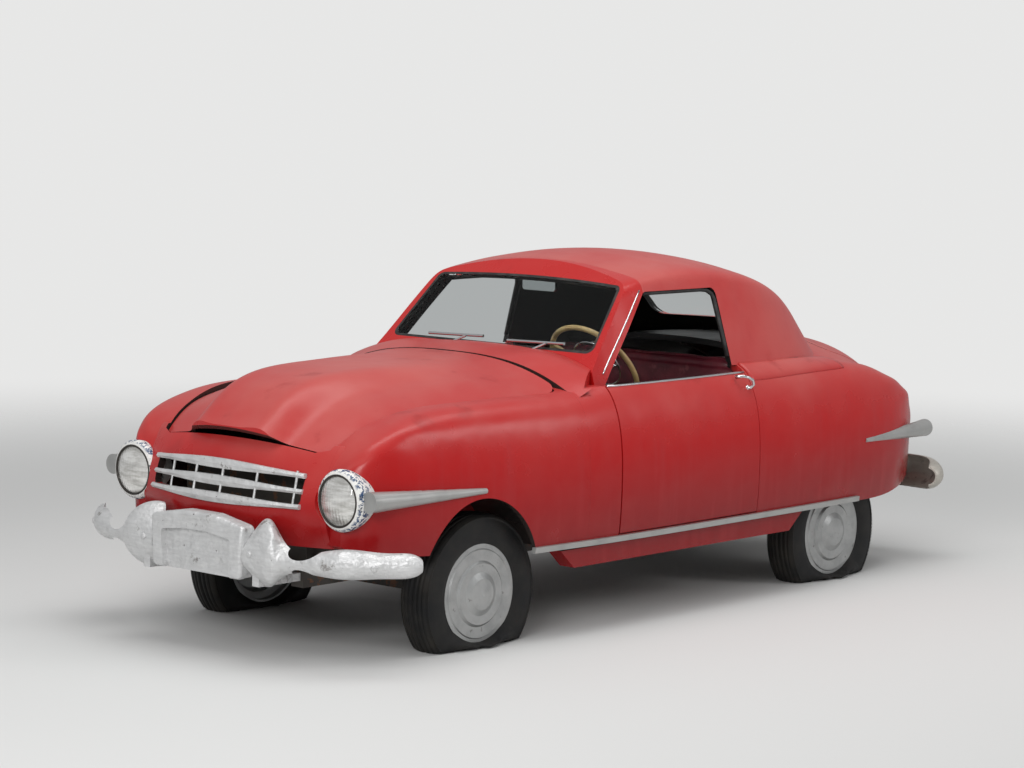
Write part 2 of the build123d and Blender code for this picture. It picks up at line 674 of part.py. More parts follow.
# ---------------------------------------------------------------- nose fittings
def grille_bar(z_middle, z_end, y_middle):
    """Bowed bar with a creased face, thick in the middle and thin at its ends."""
    reach = GRILLE_HALF + 4
    sections = []
    for share in (-1.0, -0.5, 0.0, 0.5, 1.0):
        half = 19 - 10 * abs(share)
        rise, back = z_end + (z_middle - z_end) * (1 - share**2), y_middle + GRILLE_BOW * share**2
        outline = [(-10, 0), (-3, half), (10, half), (10, -half), (-3, -half)]
        sections.append(make_face(Polyline(*[(share * reach, back + y, rise + z) for y, z in outline], close=True)))
    return loft(sections)


def grille():
    """Three bowed bars on upright stays."""
    bars = [grille_bar(710, 695, -1898), grille_bar(647, 638, -1908), grille_bar(585, 583, -1926)]
    whole = bars[0] + bars[1] + bars[2]
    for x in GRILLE_STAYS:
        back = GRILLE_BOW * (x / GRILLE_HALF) ** 2
        whole += rod((x, back - 1892, 712), (x, back - 1920, 580), 5)
    return largest(whole - nose(-SEAT_GAP))


def pod_form(side, grow=0.0):
    """Outer form of a lamp's barrel, drawn in toward the fender like a bowl."""
    edge, back = LAMP_RADIUS + grow, 150.0 + grow
    profile = make_face(
        Line((0, -back), (edge - 52, -back))
        + ThreePointArc((edge - 52, -back), (edge - 16, -88), (edge, -26))
        + ThreePointArc((edge, -26), (edge - 5, -8 + grow), (edge - 16, grow))
        + Polyline((edge - 16, grow), (0, grow), (0, -back))
    )
    return Pos(side * LAMP_X, LAMP_FACE_Y, LAMP_Z) * Rot(180, 0, 0) * revolve(Plane.XY * profile, Axis.Y)


def headlamp_pod(side):
    """Barrel that carries a lamp, hollow behind the glass."""
    wall = LENS_RADIUS + SEAT_GAP
    bowl = make_face(Polyline((0, 10), (wall, 10), (wall, -24), (0, -90), close=True))
    bowl = Pos(side * LAMP_X, LAMP_FACE_Y, LAMP_Z) * Rot(180, 0, 0) * revolve(Plane.XY * bowl, Axis.Y)
    return pod_form(side) - bowl


def headlamp_lens(side):
    """Bulging round glass."""
    bulge = 22.0
    ball = (LENS_RADIUS**2 + bulge**2) / (2 * bulge)
    glass = Pos(0, 0, bulge - ball - 4) * Sphere(ball) & Pos(0, 0, 5) * Cylinder(LENS_RADIUS, 30)
    return Pos(side * LAMP_X, LAMP_FACE_Y, LAMP_Z) * Rot(90, 0, 0) * largest(glass)


def side_spears():
    """Tapering spears on the four fenders, thick ends fore and aft."""
    clear = pontoon(-SEAT_GAP)
    front = rod((704, -1806, 626), (722, -1195, 615), 39.5, 10.5) - clear
    front -= pod_form(1, SEAT_GAP)
    rear = rod((757, 1224, 612), (694, 1788, 620), 9, 39.5)
    rear = fillet(rear.edges().sort_by(Axis.Y)[-1:], 14)
    rear -= clear
    return [*pair(largest(front)).solids(), *pair(largest(rear)).solids()]


def sill_mouldings():
    """Bright strip along the body's lower edge."""
    band = pontoon(-13, 60) - pontoon(-SEAT_GAP)
    strip = largest((band & block((600, 900), (-940, 1176), (351, 373))))
    return pair(strip).solids()


# ---------------------------------------------------------------- bumpers
def blade_section(x, y, heading, z, height, depth):
    """C-shaped outline of a bumper blade, seen along its length."""
    plane = Plane(origin=(x, y, z), x_dir=(sin(heading), -cos(heading), 0), z_dir=(cos(heading), sin(heading), 0))
    half = height / 2
    outline = (
        ThreePointArc((-depth * 0.4, half), (depth * 0.6, 0), (-depth * 0.4, -half))
        + Line((-depth * 0.4, -half), (-depth * 0.4, half))
    )
    return plane * make_face(outline)


def blade(stations, wall, solid_end=0):
    """Pressed blade through stations of (x, y, z, height, depth), open behind but for its last stations."""
    outer, inner = [], []
    for i, (x, y, z, height, depth) in enumerate(stations):
        before, after = stations[max(i - 1, 0)], stations[min(i + 1, len(stations) - 1)]
        heading = atan2(after[1] - before[1], after[0] - before[0])
        outer.append(blade_section(x, y, heading, z, height, depth))
        back = (x - wall * 2 * sin(heading), y + wall * 2 * cos(heading))
        inner.append(blade_section(*back, heading, z, height - 2 * wall, depth + wall))
    return loft(outer) - loft(inner[:len(inner) - solid_end])


def front_bumper():
    """Two blades and a deep guard with a recessed plate in the middle, on two brackets."""
    stations = [
        (244, -1979, 398, 108, 46),
        (430, -1962, 398, 108, 46),
        (620, -1912, 400, 104, 44),
        (760, -1822, 402, 98, 42),
        (836, -1754, 403, 94, 40),
        (866, -1722, 404, 78, 36),
        (880, -1704, 404, 46, 22),
    ]
    side = blade(stations, 6, 2)
    guard_face = polygon((-254, 504), (-84, 534), (84, 534), (254, 504), (242, 306), (-242, 306))
    guard = along_y(fillet(guard_face.vertices(), 22), (-OVERHANG_TIP_Y, -1946))
    guard = fillet(guard.faces().sort_by(Axis.Y)[0].edges(), 16)
    plate = polygon((-190, 452), (-60, 468), (60, 468), (190, 452), (180, 280), (-180, 280))
    guard -= along_y(fillet(plate.vertices(), 14), (-OVERHANG_TIP_Y - 5, -OVERHANG_TIP_Y + 26))
    hollow = polygon((-246, 498), (-84, 526), (84, 526), (246, 498), (234, 290), (-234, 290))
    guard -= along_y(hollow, (-OVERHANG_TIP_Y + 32, -1930))
    for x in (-PLATE_HOLE_SPACING / 2, PLATE_HOLE_SPACING / 2):
        guard -= rod((x, -2100, PLATE_HOLE_Z), (x, -1900, PLATE_HOLE_Z), PLATE_HOLE_RADIUS)
    across = (RAIL_X - 18, RAIL_X + 18)
    bracket = block(across, (-1976, RAIL_FRONT_Y - SEAT_GAP), (FRAME_BOTTOM_Z + 26, FRAME_BOTTOM_Z + 56))
    bracket += block(across, (-1982, -1960), (FRAME_BOTTOM_Z + 26, 430))
    whole = guard + side + mirrored(side) + bracket + mirrored(bracket)
    return largest(whole)


def rear_bumper():
    """One blade that wraps round the tail, on two brackets."""
    reach = OVERHANG_TIP_Y - 54
    stations = [
        (724, 1802, 396, 84, 40),
        (700, 1862, 398, 130, 66),
        (630, 1912, 398, 148, 78),
        (470, reach - 24, 398, 150, 78),
        (240, reach - 7, 398, 150, 78),
        (0, reach, 398, 150, 78),
        (-240, reach - 7, 398, 150, 78),
        (-470, reach - 24, 398, 150, 78),
        (-630, 1912, 398, 148, 78),
        (-700, 1862, 398, 130, 66),
        (-724, 1802, 396, 84, 40),
    ]
    whole = blade(stations, 6)
    bracket = block((RAIL_X - 18, RAIL_X + 18), (RAIL_REAR_Y + SEAT_GAP, OVERHANG_TIP_Y - 10), (FRAME_BOTTOM_Z + 24, FRAME_BOTTOM_Z + 64))
    bracket += block((RAIL_X - 18, RAIL_X + 18), (OVERHANG_TIP_Y - 74, OVERHANG_TIP_Y - 10), (FRAME_BOTTOM_Z + 24, 420))
    return largest(whole + bracket + mirrored(bracket))


# ---------------------------------------------------------------- cabin
def seat_cushion():
    profile = polygon((70, 356), (80, 560), (120, 580), (560, 545), (560, 356))
    cushion = along_x(fillet(profile.vertices(), 24), (-580, 580))
    return Pos(0, 0, FLOOR_Z + FLOOR_THICKNESS + SEAT_GAP - 356) * cushion


def seat_back():
    foot = FLOOR_Z + FLOOR_THICKNESS + SEAT_GAP
    profile = polygon((566, foot), (562, 720), (590, 1000), (640, 1024), (690, 990), (700, foot))
    return along_x(fillet(profile.vertices(), 26), (-580, 580))


def dashboard():
    """Instrument panel, its front part tucked up under the cowl."""
    hollow = pontoon(SKIN + SEAT_GAP) + hood_dome(SKIN + SEAT_GAP)
    panel = block((-505, 505), (-440, DASH_Y + 4), (830, 1120)) & hollow
    front = DASH_Y + SEAT_GAP
    profile = polygon((front, 830), (front, 1030), (-330, 1030), (-294, 1000), (-310, 860), (-340, 830))
    panel += along_x(profile, (-505, 505))
    return largest(panel - column_rod(20 + SEAT_GAP))




def steering_frame():
    """Plane of the steering wheel, its normal pointing at the driver."""
    tilt = radians(STEERING_TILT)
    return Plane(origin=STEERING_HUB, x_dir=(1, 0, 0), z_dir=(0, cos(tilt), sin(tilt)))


def steering_wheel():
    """Three-spoked wheel."""
    wheel = Torus(STEERING_RADIUS, 11)
    for angle in (90, 210, 330):
        wheel += Rot(0, 0, angle) * rod((20, 0, -14), (STEERING_RADIUS, 0, 0), 8)
    wheel += Pos(0, 0, -12) * Cylinder(34, 40)
    return largest(Location(steering_frame()) * wheel)


def column_rod(radius):
    frame = steering_frame()
    top = frame.origin - frame.z_dir * (32 + SEAT_GAP)
    low = frame.origin - frame.z_dir * 606
    return rod(tuple(top), tuple(low), radius)


def steering_column():
    return column_rod(20)


def wipers():
    """Two wiper arms with blades, resting against the foot of the windscreen."""
    _, frame = screen_opening()
    pieces = []
    for x in (-190, 250):
        arm = rod((x, -22, 16), (x + 60, 20, 16), 5) + rod((x - 150, 20, 12), (x + 150, 30, 12), 6)
        arm += rod((x, -22, -6), (x, -22, 22), 8)
        pieces.append(Location(frame) * arm)
    clear = lower_body()
    return Compound(children=[largest(piece - clear) for piece in pieces])


def interior_mirror():
    stem = rod((0, -98, 1400), (0, -84, 1318), 6)
    glass = block((-90, 90), (-90, -74), (1276, 1322))
    inside = greenhouse(SKIN + SEAT_GAP) & behind_screen(SKIN + SEAT_GAP)
    return largest((stem + fillet(glass.edges().filter_by(Axis.Y), 12)) & inside)


def engine_block():
    return block((-150, 150), (-1560, -960), (FLOOR_Z - 14 + SEAT_GAP, 800))


def exhaust_pipe():
    z = FRAME_BOTTOM_Z + 20
    pipe = rod((170, -660, z), (170, 600, z), 20) + rod((170, 120, z), (170, 520, z), 50)
    for y in (160, 480):
        pipe += block((160, 180), (y - 12, y + 12), (z, FLOOR_Z - SEAT_GAP))
    return largest(pipe)


def fuel_tank():
    tank = block((-240, 240), (1330, 1700), (366, 486 - SEAT_GAP))
    return fillet(tank.edges().filter_by(Axis.X).sort_by(Axis.Z)[:2], 30)


# ---------------------------------------------------------------- the set
def all_parts():
    parts = engine_bay_panels()
    parts["cowl"] = cowl()
    parts["rear_body"] = rear_body()
    parts["trunk_lid"] = trunk_lid()
    parts.update(top_panels())
    parts["chassis_frame"] = chassis_frame()
    parts["floor_pan"] = floor_pan()
    parts["sill_pans"] = sill_pans()
    parts["grille_bars"] = grille()
    parts["headlamp_pods"] = pair(headlamp_pod(1))
    parts["headlamp_lenses"] = pair(headlamp_lens(1))
    parts["side_trim"] = Compound(children=[*side_spears(), *sill_mouldings()])
    parts["front_bumper"] = front_bumper()
    parts["rear_bumper"] = rear_bumper()
    parts["bench_seat"] = Compound(children=[seat_cushion(), seat_back()])
    parts["dashboard"] = dashboard()
    parts["steering_wheel"] = steering_wheel()
    parts["steering_column"] = steering_column()
    parts["wipers"] = wipers()
    parts["interior_mirror"] = interior_mirror()
    parts["engine_block"] = engine_block()
    parts["exhaust_pipe"] = exhaust_pipe()
    parts["fuel_tank"] = fuel_tank()
    parts["front_axle"] = front_axle()
    parts["rear_axle"] = rear_axle()
    parts["leaf_springs"] = leaf_springs()
    for side, hand in ((1, "left"), (-1, "right")):
        parts[f"door_{hand}"] = door(side)
        parts[f"knuckle_{hand}"] = knuckle(side)
        for y, end in ((FRONT_AXLE_Y, "front"), (REAR_AXLE_Y, "rear")):
            parts[f"tyre_{end}_{hand}"] = tyre(side, y)
            parts[f"wheel_{end}_{hand}"] = wheel_disc(side, y)
    return parts


os.makedirs("parts", exist_ok=True)
for name, shape in all_parts().items():
    export_step(shape, f"parts/{name}.step")
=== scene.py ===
# %% [markdown]
# A small convertible that has stood unused for years: chalked red paint, dented silver
# bumpers, flat tyres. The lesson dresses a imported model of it. The model brings the
# panels and everything that moves; this script brings paint, rubber, leather and glass,
# and the small pieces that are only looked at.

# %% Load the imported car
import math

import bmesh
import bpy
from mathutils import Matrix, Vector
from mathutils.bvhtree import BVHTree


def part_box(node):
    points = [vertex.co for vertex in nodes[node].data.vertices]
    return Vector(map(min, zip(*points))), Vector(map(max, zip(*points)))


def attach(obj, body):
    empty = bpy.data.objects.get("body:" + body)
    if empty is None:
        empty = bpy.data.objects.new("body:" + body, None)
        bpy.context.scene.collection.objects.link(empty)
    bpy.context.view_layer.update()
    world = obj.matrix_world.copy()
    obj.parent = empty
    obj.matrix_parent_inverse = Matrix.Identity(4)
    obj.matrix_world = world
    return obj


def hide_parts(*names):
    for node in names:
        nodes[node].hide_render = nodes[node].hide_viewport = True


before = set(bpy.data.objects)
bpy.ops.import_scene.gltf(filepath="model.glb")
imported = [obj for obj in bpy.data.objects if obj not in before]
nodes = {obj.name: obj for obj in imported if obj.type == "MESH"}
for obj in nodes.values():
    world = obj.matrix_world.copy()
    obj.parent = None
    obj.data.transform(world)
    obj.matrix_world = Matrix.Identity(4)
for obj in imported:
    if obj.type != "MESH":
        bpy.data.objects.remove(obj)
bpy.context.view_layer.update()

# %% [markdown]
# A long lens from far away keeps the far side of the car nearly as large as the near one.
# The camera stands high enough to look down on the hood a little.

# %% Camera
EYE = (8.174, -9.429, 2.200)
YAW_PITCH_ROLL = (41.68, -6.06, 1.0)
LENS_MM = 104.7


def basis(yaw, pitch, roll):
    """Camera axes from its heading, its tilt and its roll, all in degrees."""
    yaw, pitch, roll = map(math.radians, (yaw, pitch, roll))
    level = math.cos(pitch)
    ahead = Vector((-math.sin(yaw) * level, math.cos(yaw) * level, math.sin(pitch)))
    right = Vector((math.cos(yaw), math.sin(yaw), 0))
    up = right.cross(ahead)
    turned = right * math.cos(roll) + up * math.sin(roll)
    up = up * math.cos(roll) - right * math.sin(roll)
    return Matrix((turned, up, -ahead)).transposed()


camera = bpy.data.objects.new("camera", bpy.data.cameras.new("camera"))
bpy.context.collection.objects.link(camera)
camera.data.sensor_width = 36
camera.data.lens = LENS_MM
camera.data.clip_end = 100
camera.matrix_world = Matrix.Translation(EYE) @ basis(*YAW_PITCH_ROLL).to_4x4()
bpy.context.scene.camera = camera

# %% [markdown]
# Paint shows its shape by soft lights that it mirrors: one broad lamp above, one at the
# front quarter and a weak one behind, over a grey world that fills the shadows.

# %% Light and floor
def lamp(name, place, target, size, power):
    light = bpy.data.lights.new(name, "AREA")
    light.shape = "RECTANGLE"
    light.size, light.size_y = size
    light.energy = power
    lit = bpy.data.objects.new(name, light)
    bpy.context.collection.objects.link(lit)
    lit.location = place
    lit.rotation_euler = (Vector(target) - Vector(place)).to_track_quat("-Z", "Y").to_euler()


lamp("roof_lamp", (1.0, -0.5, 5.6), (0, 0, 0.4), (7.0, 2.2), 180)
lamp("front_lamp", (3.6, -7.6, 3.6), (0, 0, 0.6), (3.5, 2.0), 230)
lamp("side_lamp", (6.5, 3.5, 3.6), (0, 0.4, 0.6), (2.5, 1.6), 70)

world = bpy.data.worlds.new("studio")
world.use_nodes = True
BACKDROP = (0.80, 0.80, 0.795, 1)
lit_by = world.node_tree.nodes["Background"]
lit_by.inputs["Color"].default_value = (0.86, 0.87, 0.88, 1)
lit_by.inputs["Strength"].default_value = 0.50
seen = world.node_tree.nodes.new("ShaderNodeBackground")
seen.inputs["Color"].default_value = BACKDROP
either = world.node_tree.nodes.new("ShaderNodeMixShader")
rays = world.node_tree.nodes.new("ShaderNodeLightPath")
join = world.node_tree.links.new
join(rays.outputs["Is Camera Ray"], either.inputs[0])
join(lit_by.outputs[0], either.inputs[1])
join(seen.outputs[0], either.inputs[2])
join(either.outputs[0], world.node_tree.nodes["World Output"].inputs["Surface"])
bpy.context.scene.world = world
bpy.context.scene.view_settings.view_transform = "Standard"

# %% [markdown]
# Shader maths reads best as arithmetic. One small class holds a socket and turns
# Python's operators into Math nodes; colours and vectors go through Mix and Vector Math.

# %% Sockets as numbers
class Val:
    """A socket that can be added, multiplied and clamped like a number."""

    def __init__(self, mat, socket):
        self.mat, self.socket = mat, socket

    def _math(self, kind, other=None, swap=False):
        pair = [self, other] if not swap else [other, self]
        wanted = [value for value in pair if value is not None]
        return self.mat.node("ShaderNodeMath", {"operation": kind}, dict(enumerate(wanted)))

    def __add__(self, other): return self._math("ADD", other)
    def __radd__(self, other): return self._math("ADD", other)
    def __sub__(self, other): return self._math("SUBTRACT", other)
    def __rsub__(self, other): return self._math("SUBTRACT", other, True)
    def __mul__(self, other): return self._math("MULTIPLY", other)
    def __rmul__(self, other): return self._math("MULTIPLY", other)
    def __pow__(self, other): return self._math("POWER", other)
    def abs(self): return self._math("ABSOLUTE")
    def sin(self): return self._math("SINE")
    def sqrt(self): return self._math("SQRT")
    def least(self, other): return self._math("MINIMUM", other)
    def most(self, other): return self._math("MAXIMUM", other)

    def step(self, low, high):
        """0 below low, 1 above high, smooth between."""
        smooth = {"interpolation_type": "SMOOTHSTEP"}
        limits = {"Value": self, "From Min": low, "From Max": high}
        return self.mat.node("ShaderNodeMapRange", smooth, limits, "Result")


class Finish:
    """A material that is built up from patterns on the piece's own coordinates."""

    def __init__(self, name):
        self.material = bpy.data.materials.new(name)
        self.material.use_nodes = True
        self.tree = self.material.node_tree
        self.shader = self.tree.nodes["Principled BSDF"]
        self._place = self.node("ShaderNodeTexCoord", {}, {}, "Object")
        self.x, self.y, self.z = self.split(self._place)

    def node(self, kind, settings, values, out=0):
        made = self.tree.nodes.new(kind)
        for key, value in settings.items():
            setattr(made, key, value)
        for key, value in values.items():
            self.put(made.inputs[key], value)
        return Val(self, made.outputs[out])

    def put(self, socket, value):
        if isinstance(value, Val):
            self.tree.links.new(value.socket, socket)
        elif isinstance(value, (int, float)):
            socket.default_value = value
        else:
            value = tuple(value)
            opaque = socket.type == "RGBA" and len(value) == 3
            socket.default_value = value + (1,) if opaque else value

    def split(self, vector):
        apart = self.tree.nodes.new("ShaderNodeSeparateXYZ")
        self.tree.links.new(vector.socket, apart.inputs[0])
        return [Val(self, apart.outputs[axis]) for axis in "XYZ"]

    def facing(self):
        """The surface's own direction, as three numbers."""
        return self.split(self.node("ShaderNodeTexCoord", {}, {}, "Normal"))

    def noise(self, scale, detail=3.0, stretch=(1, 1, 1), shift=(0, 0, 0), roughness=0.55):
        moved = {"Vector": self._place, "Scale": stretch, "Location": shift}
        at = self.node("ShaderNodeMapping", {}, moved, "Vector")
        grain = {"Vector": at, "Scale": scale, "Detail": detail, "Roughness": roughness}
        return self.node("ShaderNodeTexNoise", {}, grain, "Fac")

    def cells(self, scale):
        values = {"Vector": self._place, "Scale": scale}
        return self.node("ShaderNodeTexVoronoi", {}, values, "Distance")

    def mix(self, share, low, high):
        made = self.tree.nodes.new("ShaderNodeMix")
        made.data_type = "RGBA"
        for index, value in ((0, share), (6, low), (7, high)):
            self.put(made.inputs[index], value)
        return Val(self, made.outputs[2])

    def ball(self, centre, radius):
        """1 inside a soft ball on the piece, 0 outside."""
        x, y, z = centre
        gap = ((self.x - x) ** 2 + (self.y - y) ** 2 + (self.z - z) ** 2).sqrt()
        return gap.step(radius, radius * 0.4)

    def bump(self, height, distance, strength=1.0):
        values = {"Height": height, "Distance": distance, "Strength": strength}
        self.set(**{"Normal": self.node("ShaderNodeBump", {}, values, "Normal")})

    def set(self, **values):
        for key, value in values.items():
            self.put(self.shader.inputs[key.replace("_", " ")], value)
        return self

    def colour(self):
        """What feeds the shader's colour so far."""
        return Val(self, self.shader.inputs["Base Color"].links[0].from_socket)


print("shader helpers ready")

# %% [markdown]
# Single-coat red enamel chalks on its upward faces, and the dull pink there is also painted
# sheen of the light from above; the higher parts are lightened the same way as painted top
# light, and the lower sides are darkened as painted shade. The piece's own normal says which
# way a spot faces, so the pink stays on a panel when it opens. Long vertical runs and blotches
# come from stretched noise, and the inside of each panel is dark undercoat.

# %% Faded red paint
# The low red is painted shade of the lower sides; the pink is chalking plus painted sheen from
# above.
PAINTED_SHADE_LOW_RED, DEEP_HIGH = (0.25, 0.0015, 0.0035), (0.47, 0.0040, 0.0048)
CHALK_AND_SHEEN_PINK, BLEACHED = (0.46, 0.052, 0.048), (0.53, 0.125, 0.108)
RUN_RED, STAIN_RED = (0.40, 0.026, 0.030), (0.30, 0.014, 0.012)


def inner_side(finish, centre):
    """1 where a surface faces a point inside the car, 0 on the outer skin."""
    nx, ny, nz = finish.facing()
    x, y, z = centre
    toward = nx * (finish.x - x) + ny * (finish.y - y) + nz * (finish.z - z)
    return toward.step(0.02, -0.02)


def red_paint(name, centre, inside, chalk_and_light_share=1.0):
    """Red enamel that chalks on top, with painted top light above and painted shade low down;
    inside is its colour where it faces the centre.
    """
    paint = Finish(name)
    nz = paint.facing()[2]
    clouds = paint.noise(1.6, 4)
    blotches = paint.noise(7.0, 5, shift=(3, 1, 2))
    runs = paint.noise(14.0, 3, stretch=(1, 1, 0.08), shift=(0.3, 0.1, 0))
    # The height mask lightens the higher parts: painted top light.
    high = paint.z.step(0.56, 0.98)
    up = nz.step(0.0, 0.85)
    # The pink share adds chalking on upward faces and painted sheen from above.
    chalk_and_painted_top_light = (up * 0.45 + high * 0.50 + (clouds - 0.5) * 1.1 + (blotches - 0.5) * 0.40) * chalk_and_light_share
    chalk_and_painted_top_light = chalk_and_painted_top_light.most(0.0).least(1.0)
    # Darker red toward the bottom is painted shade.
    deep = paint.mix(paint.z.step(0.35, 0.78), PAINTED_SHADE_LOW_RED, DEEP_HIGH)
    colour = paint.mix(chalk_and_painted_top_light, deep, CHALK_AND_SHEEN_PINK)
    bleach = (up * (clouds - 0.42).most(0.0) * 2.2 * chalk_and_light_share).least(0.55)
    colour = paint.mix(bleach, colour, BLEACHED)
    colour = paint.mix((runs - 0.52).most(0.0) * 1.3 * (1 - up), colour, RUN_RED)
    stain = paint.noise(5.0, 6, shift=(7, 2, 5)).step(0.60, 0.72) * up * 0.5
    colour = paint.mix(stain, colour, STAIN_RED)
    colour = paint.mix(inner_side(paint, centre), colour, inside)
    dullness = 0.24 + chalk_and_painted_top_light * 0.15 + (blotches - 0.5) * 0.10
    paint.set(Base_Color=colour, Roughness=dullness, Specular_IOR_Level=0.34)
    paint.bump(paint.noise(3.2, 2) + paint.noise(60.0, 2) * 0.010, 0.012, 0.8)
    return paint


CABIN, SEATS, BOOT = (0.0, 0.35, 0.85), (0.0, 0.0, 0.7), (0.0, 0.9, 0.45)
ENGINE_ROOM, HIGH_ABOVE = (0.0, -1.25, 0.35), (0.0, 0.0, 9.0)
UNDERCOAT, DOOR_INSIDE = (0.030, 0.022, 0.020), (0.060, 0.012, 0.014)
HEADLINING = (0.012, 0.011, 0.011)
# The last number scales chalking and painted top light together.
hood_paint = red_paint("hood_paint", ENGINE_ROOM, UNDERCOAT)
fender_paint = red_paint("fender_paint", ENGINE_ROOM, UNDERCOAT, 0.8)
tail_paint = red_paint("tail_paint", BOOT, UNDERCOAT)
door_paint = red_paint("door_paint", SEATS, DOOR_INSIDE, 0.9)
top_paint = red_paint("top_paint", CABIN, HEADLINING, 1.35)
pan_paint = red_paint("pan_paint", HIGH_ABOVE, UNDERCOAT, 0.1)
screen_paint = red_paint("screen_paint", CABIN, HEADLINING, 0.25)
print("red paints: 7")

# %% [markdown]
# The rear quarter was once rubbed down and spot-primed: a grey-pink patch low behind the
# wheel. It is one soft ball of another colour on each side of the tail.

# %% Primer patch
PATCH_X, PATCH_Y, PATCH_Z, PATCH_R = 0.66, 1.62, 0.44, 0.16


def primer_patch(paint):
    colour = paint.colour()
    blot = paint.noise(9.0, 4)
    for x in (-PATCH_X, PATCH_X):
        patch = paint.ball((x, PATCH_Y, PATCH_Z), PATCH_R) * blot.step(0.35, 0.60)
        colour = paint.mix(patch * 0.8, colour, (0.27, 0.085, 0.075))
    paint.set(Base_Color=colour)


primer_patch(tail_paint)
print("primer patches: 2, one low on each side of the tail")

# %% [markdown]
# Under the top the deck is painted dark as painted shade, so what shows through the windows
# behind the seat is dark. A mask in plan, as wide as the top's foot, does that.

# %% Painted shade under the top
def paint_shade_under_top(paint):
    narrowing = (paint.y - 0.90).most(0.0) * 0.62
    within = (paint.x.abs() + narrowing).step(0.625, 0.605)
    # The deck under the top takes the dark headlining colour as painted shade.
    under = within * paint.y.step(1.34, 1.30) * paint.z.step(0.84, 0.86)
    paint.set(Base_Color=paint.mix(under, paint.colour(), HEADLINING))


paint_shade_under_top(tail_paint)
print("deck trim under the top ready")

# %% [markdown]
# Chipped paint is a mask: noise with a hard threshold leaves islands, and a second, finer
# noise eats at their rims. What shows through is another colour, rougher and lower.

# %% Lamp paint, silver paint and bare metal
LAMP_X, LAMP_Z = 0.564, 0.619


def chipped(name, top, under, share, scale, roughness=0.4, metallic=0.0):
    """Paint with chips; they open where the noise of this scale is above share."""
    paint = Finish(name)
    ragged = (paint.noise(scale * 6, 3) - 0.5) * 0.12
    chips = (paint.noise(scale, 6, roughness=0.7) + ragged).step(share, share + 0.02)
    grime = paint.noise(scale * 0.5, 4, shift=(4, 4, 1))
    colour = paint.mix(grime.step(0.45, 0.75) * 0.35, top, [c * 0.55 for c in top])
    colour = paint.mix(chips, colour, under)
    paint.set(Base_Color=colour, Roughness=roughness + grime * 0.2, Metallic=metallic)
    paint.bump(chips * -1.0 + paint.noise(8.0, 3) * 6.0, 0.0006, 0.7)
    return paint


def blue_rims(paint):
    """Older blue enamel that shows in chips round a lamp's edge."""
    reach = ((paint.x.abs() - LAMP_X) ** 2 + (paint.z - LAMP_Z) ** 2).sqrt()
    chips = paint.noise(55.0, 5, roughness=0.7).step(0.50, 0.53) * reach.step(0.102, 0.113)
    paint.set(Base_Color=paint.mix(chips, paint.colour(), (0.020, 0.060, 0.150)))


WHITE, PALE_SILVER = (0.80, 0.79, 0.76), (0.40, 0.40, 0.39)
STEEL, RUST = (0.055, 0.048, 0.042), (0.14, 0.065, 0.035)
FLOOR_BROWN, FLOOR_RUST = (0.085, 0.060, 0.050), (0.16, 0.09, 0.06)
lamp_paint = chipped("chipped_white", WHITE, (0.05, 0.06, 0.09), 0.62, 26.0, 0.35)
spear_paint = chipped("silver_spears", PALE_SILVER, (0.30, 0.29, 0.27), 0.66, 18.0, 0.30, 0.55)
blue_rims(lamp_paint)
dark_steel = chipped("dark_steel", STEEL, RUST, 0.55, 14.0, 0.65)
floor_paint = chipped("floor_paint", FLOOR_BROWN, FLOOR_RUST, 0.58, 9.0, 0.75)
print("chipped paints: 4")

# %% [markdown]
# The bumpers were brushed over with aluminium paint: pale, half metallic, with dark
# scuffs and broad shallow dents that the highlight breaks on.

# %% Brushed-on aluminium paint
def brushed_over(name, tone, dents=1.0):
    paint = Finish(name)
    strokes = paint.noise(30.0, 4, stretch=(0.5, 0.5, 3.0))
    scuffs = paint.noise(11.0, 7, shift=(2, 5, 1), roughness=0.75)
    dark = scuffs.step(0.60, 0.68)
    colour = paint.mix(strokes.step(0.3, 0.7) * 0.6, tone, [c * 0.80 for c in tone])
    colour = paint.mix(dark * 0.75, colour, (0.17, 0.15, 0.135))
    colour = paint.mix(paint.noise(48.0, 5).step(0.70, 0.74), colour, (0.06, 0.05, 0.045))
    paint.set(Base_Color=colour, Metallic=0.45, Roughness=0.36 + scuffs * 0.25)
    paint.bump(paint.noise(7.5, 4) + strokes * 0.03, 0.034 * dents, 1.0)
    return paint


front_silver = brushed_over("front_silver", (0.68, 0.68, 0.68))
rear_silver = brushed_over("rear_silver", (0.52, 0.49, 0.44), 0.6)
bright = Finish("bright_metal").set(Base_Color=(0.62, 0.62, 0.63), Metallic=1.0, Roughness=0.22)
bright.bump(bright.noise(40.0, 4), 0.0006, 0.5)
print("bumper silver, front and rear, and bright trim ready")

# %% [markdown]
# The wheel covers are spun: fine rings run round the hub. The distance from the axle line
# drives them, and since both axles stand equally far from the middle of the car, one
# material fits all four.

# %% Spun wheel metal
AXLE_Y, HUB_Z, WHEEL_X = 1.143, 0.206, 0.588


def axle_distance(finish):
    return ((finish.y.abs() - AXLE_Y) ** 2 + (finish.z - HUB_Z) ** 2).sqrt()


wheel_metal = Finish("spun_wheel")
reach = axle_distance(wheel_metal)
rings = (reach * 1500.0).sin() * 0.5 + 0.5
smears = wheel_metal.noise(16.0, 5)
worn = rings * 0.35 + smears.step(0.35, 0.75) * 0.45
specks = wheel_metal.noise(34.0, 5).step(0.66, 0.70) * 0.6
tone = wheel_metal.mix(worn, (0.46, 0.465, 0.46), (0.27, 0.275, 0.275))
tone = wheel_metal.mix(specks, tone, (0.16, 0.15, 0.14))
wheel_metal.set(Base_Color=tone, Metallic=0.65, Roughness=0.30 + smears * 0.2)
wheel_metal.bump(rings * 0.5 + wheel_metal.noise(10.0, 3) * 6.0, 0.0008, 0.6)
print("wheel rings run round the axle line at height", HUB_Z)

# %% [markdown]
# Old tyre rubber is not quite black: it is dusty brown on the tread, and fine moulded
# lines run round the sidewall. The trim inside is leathercloth, ivory plastic and paint.

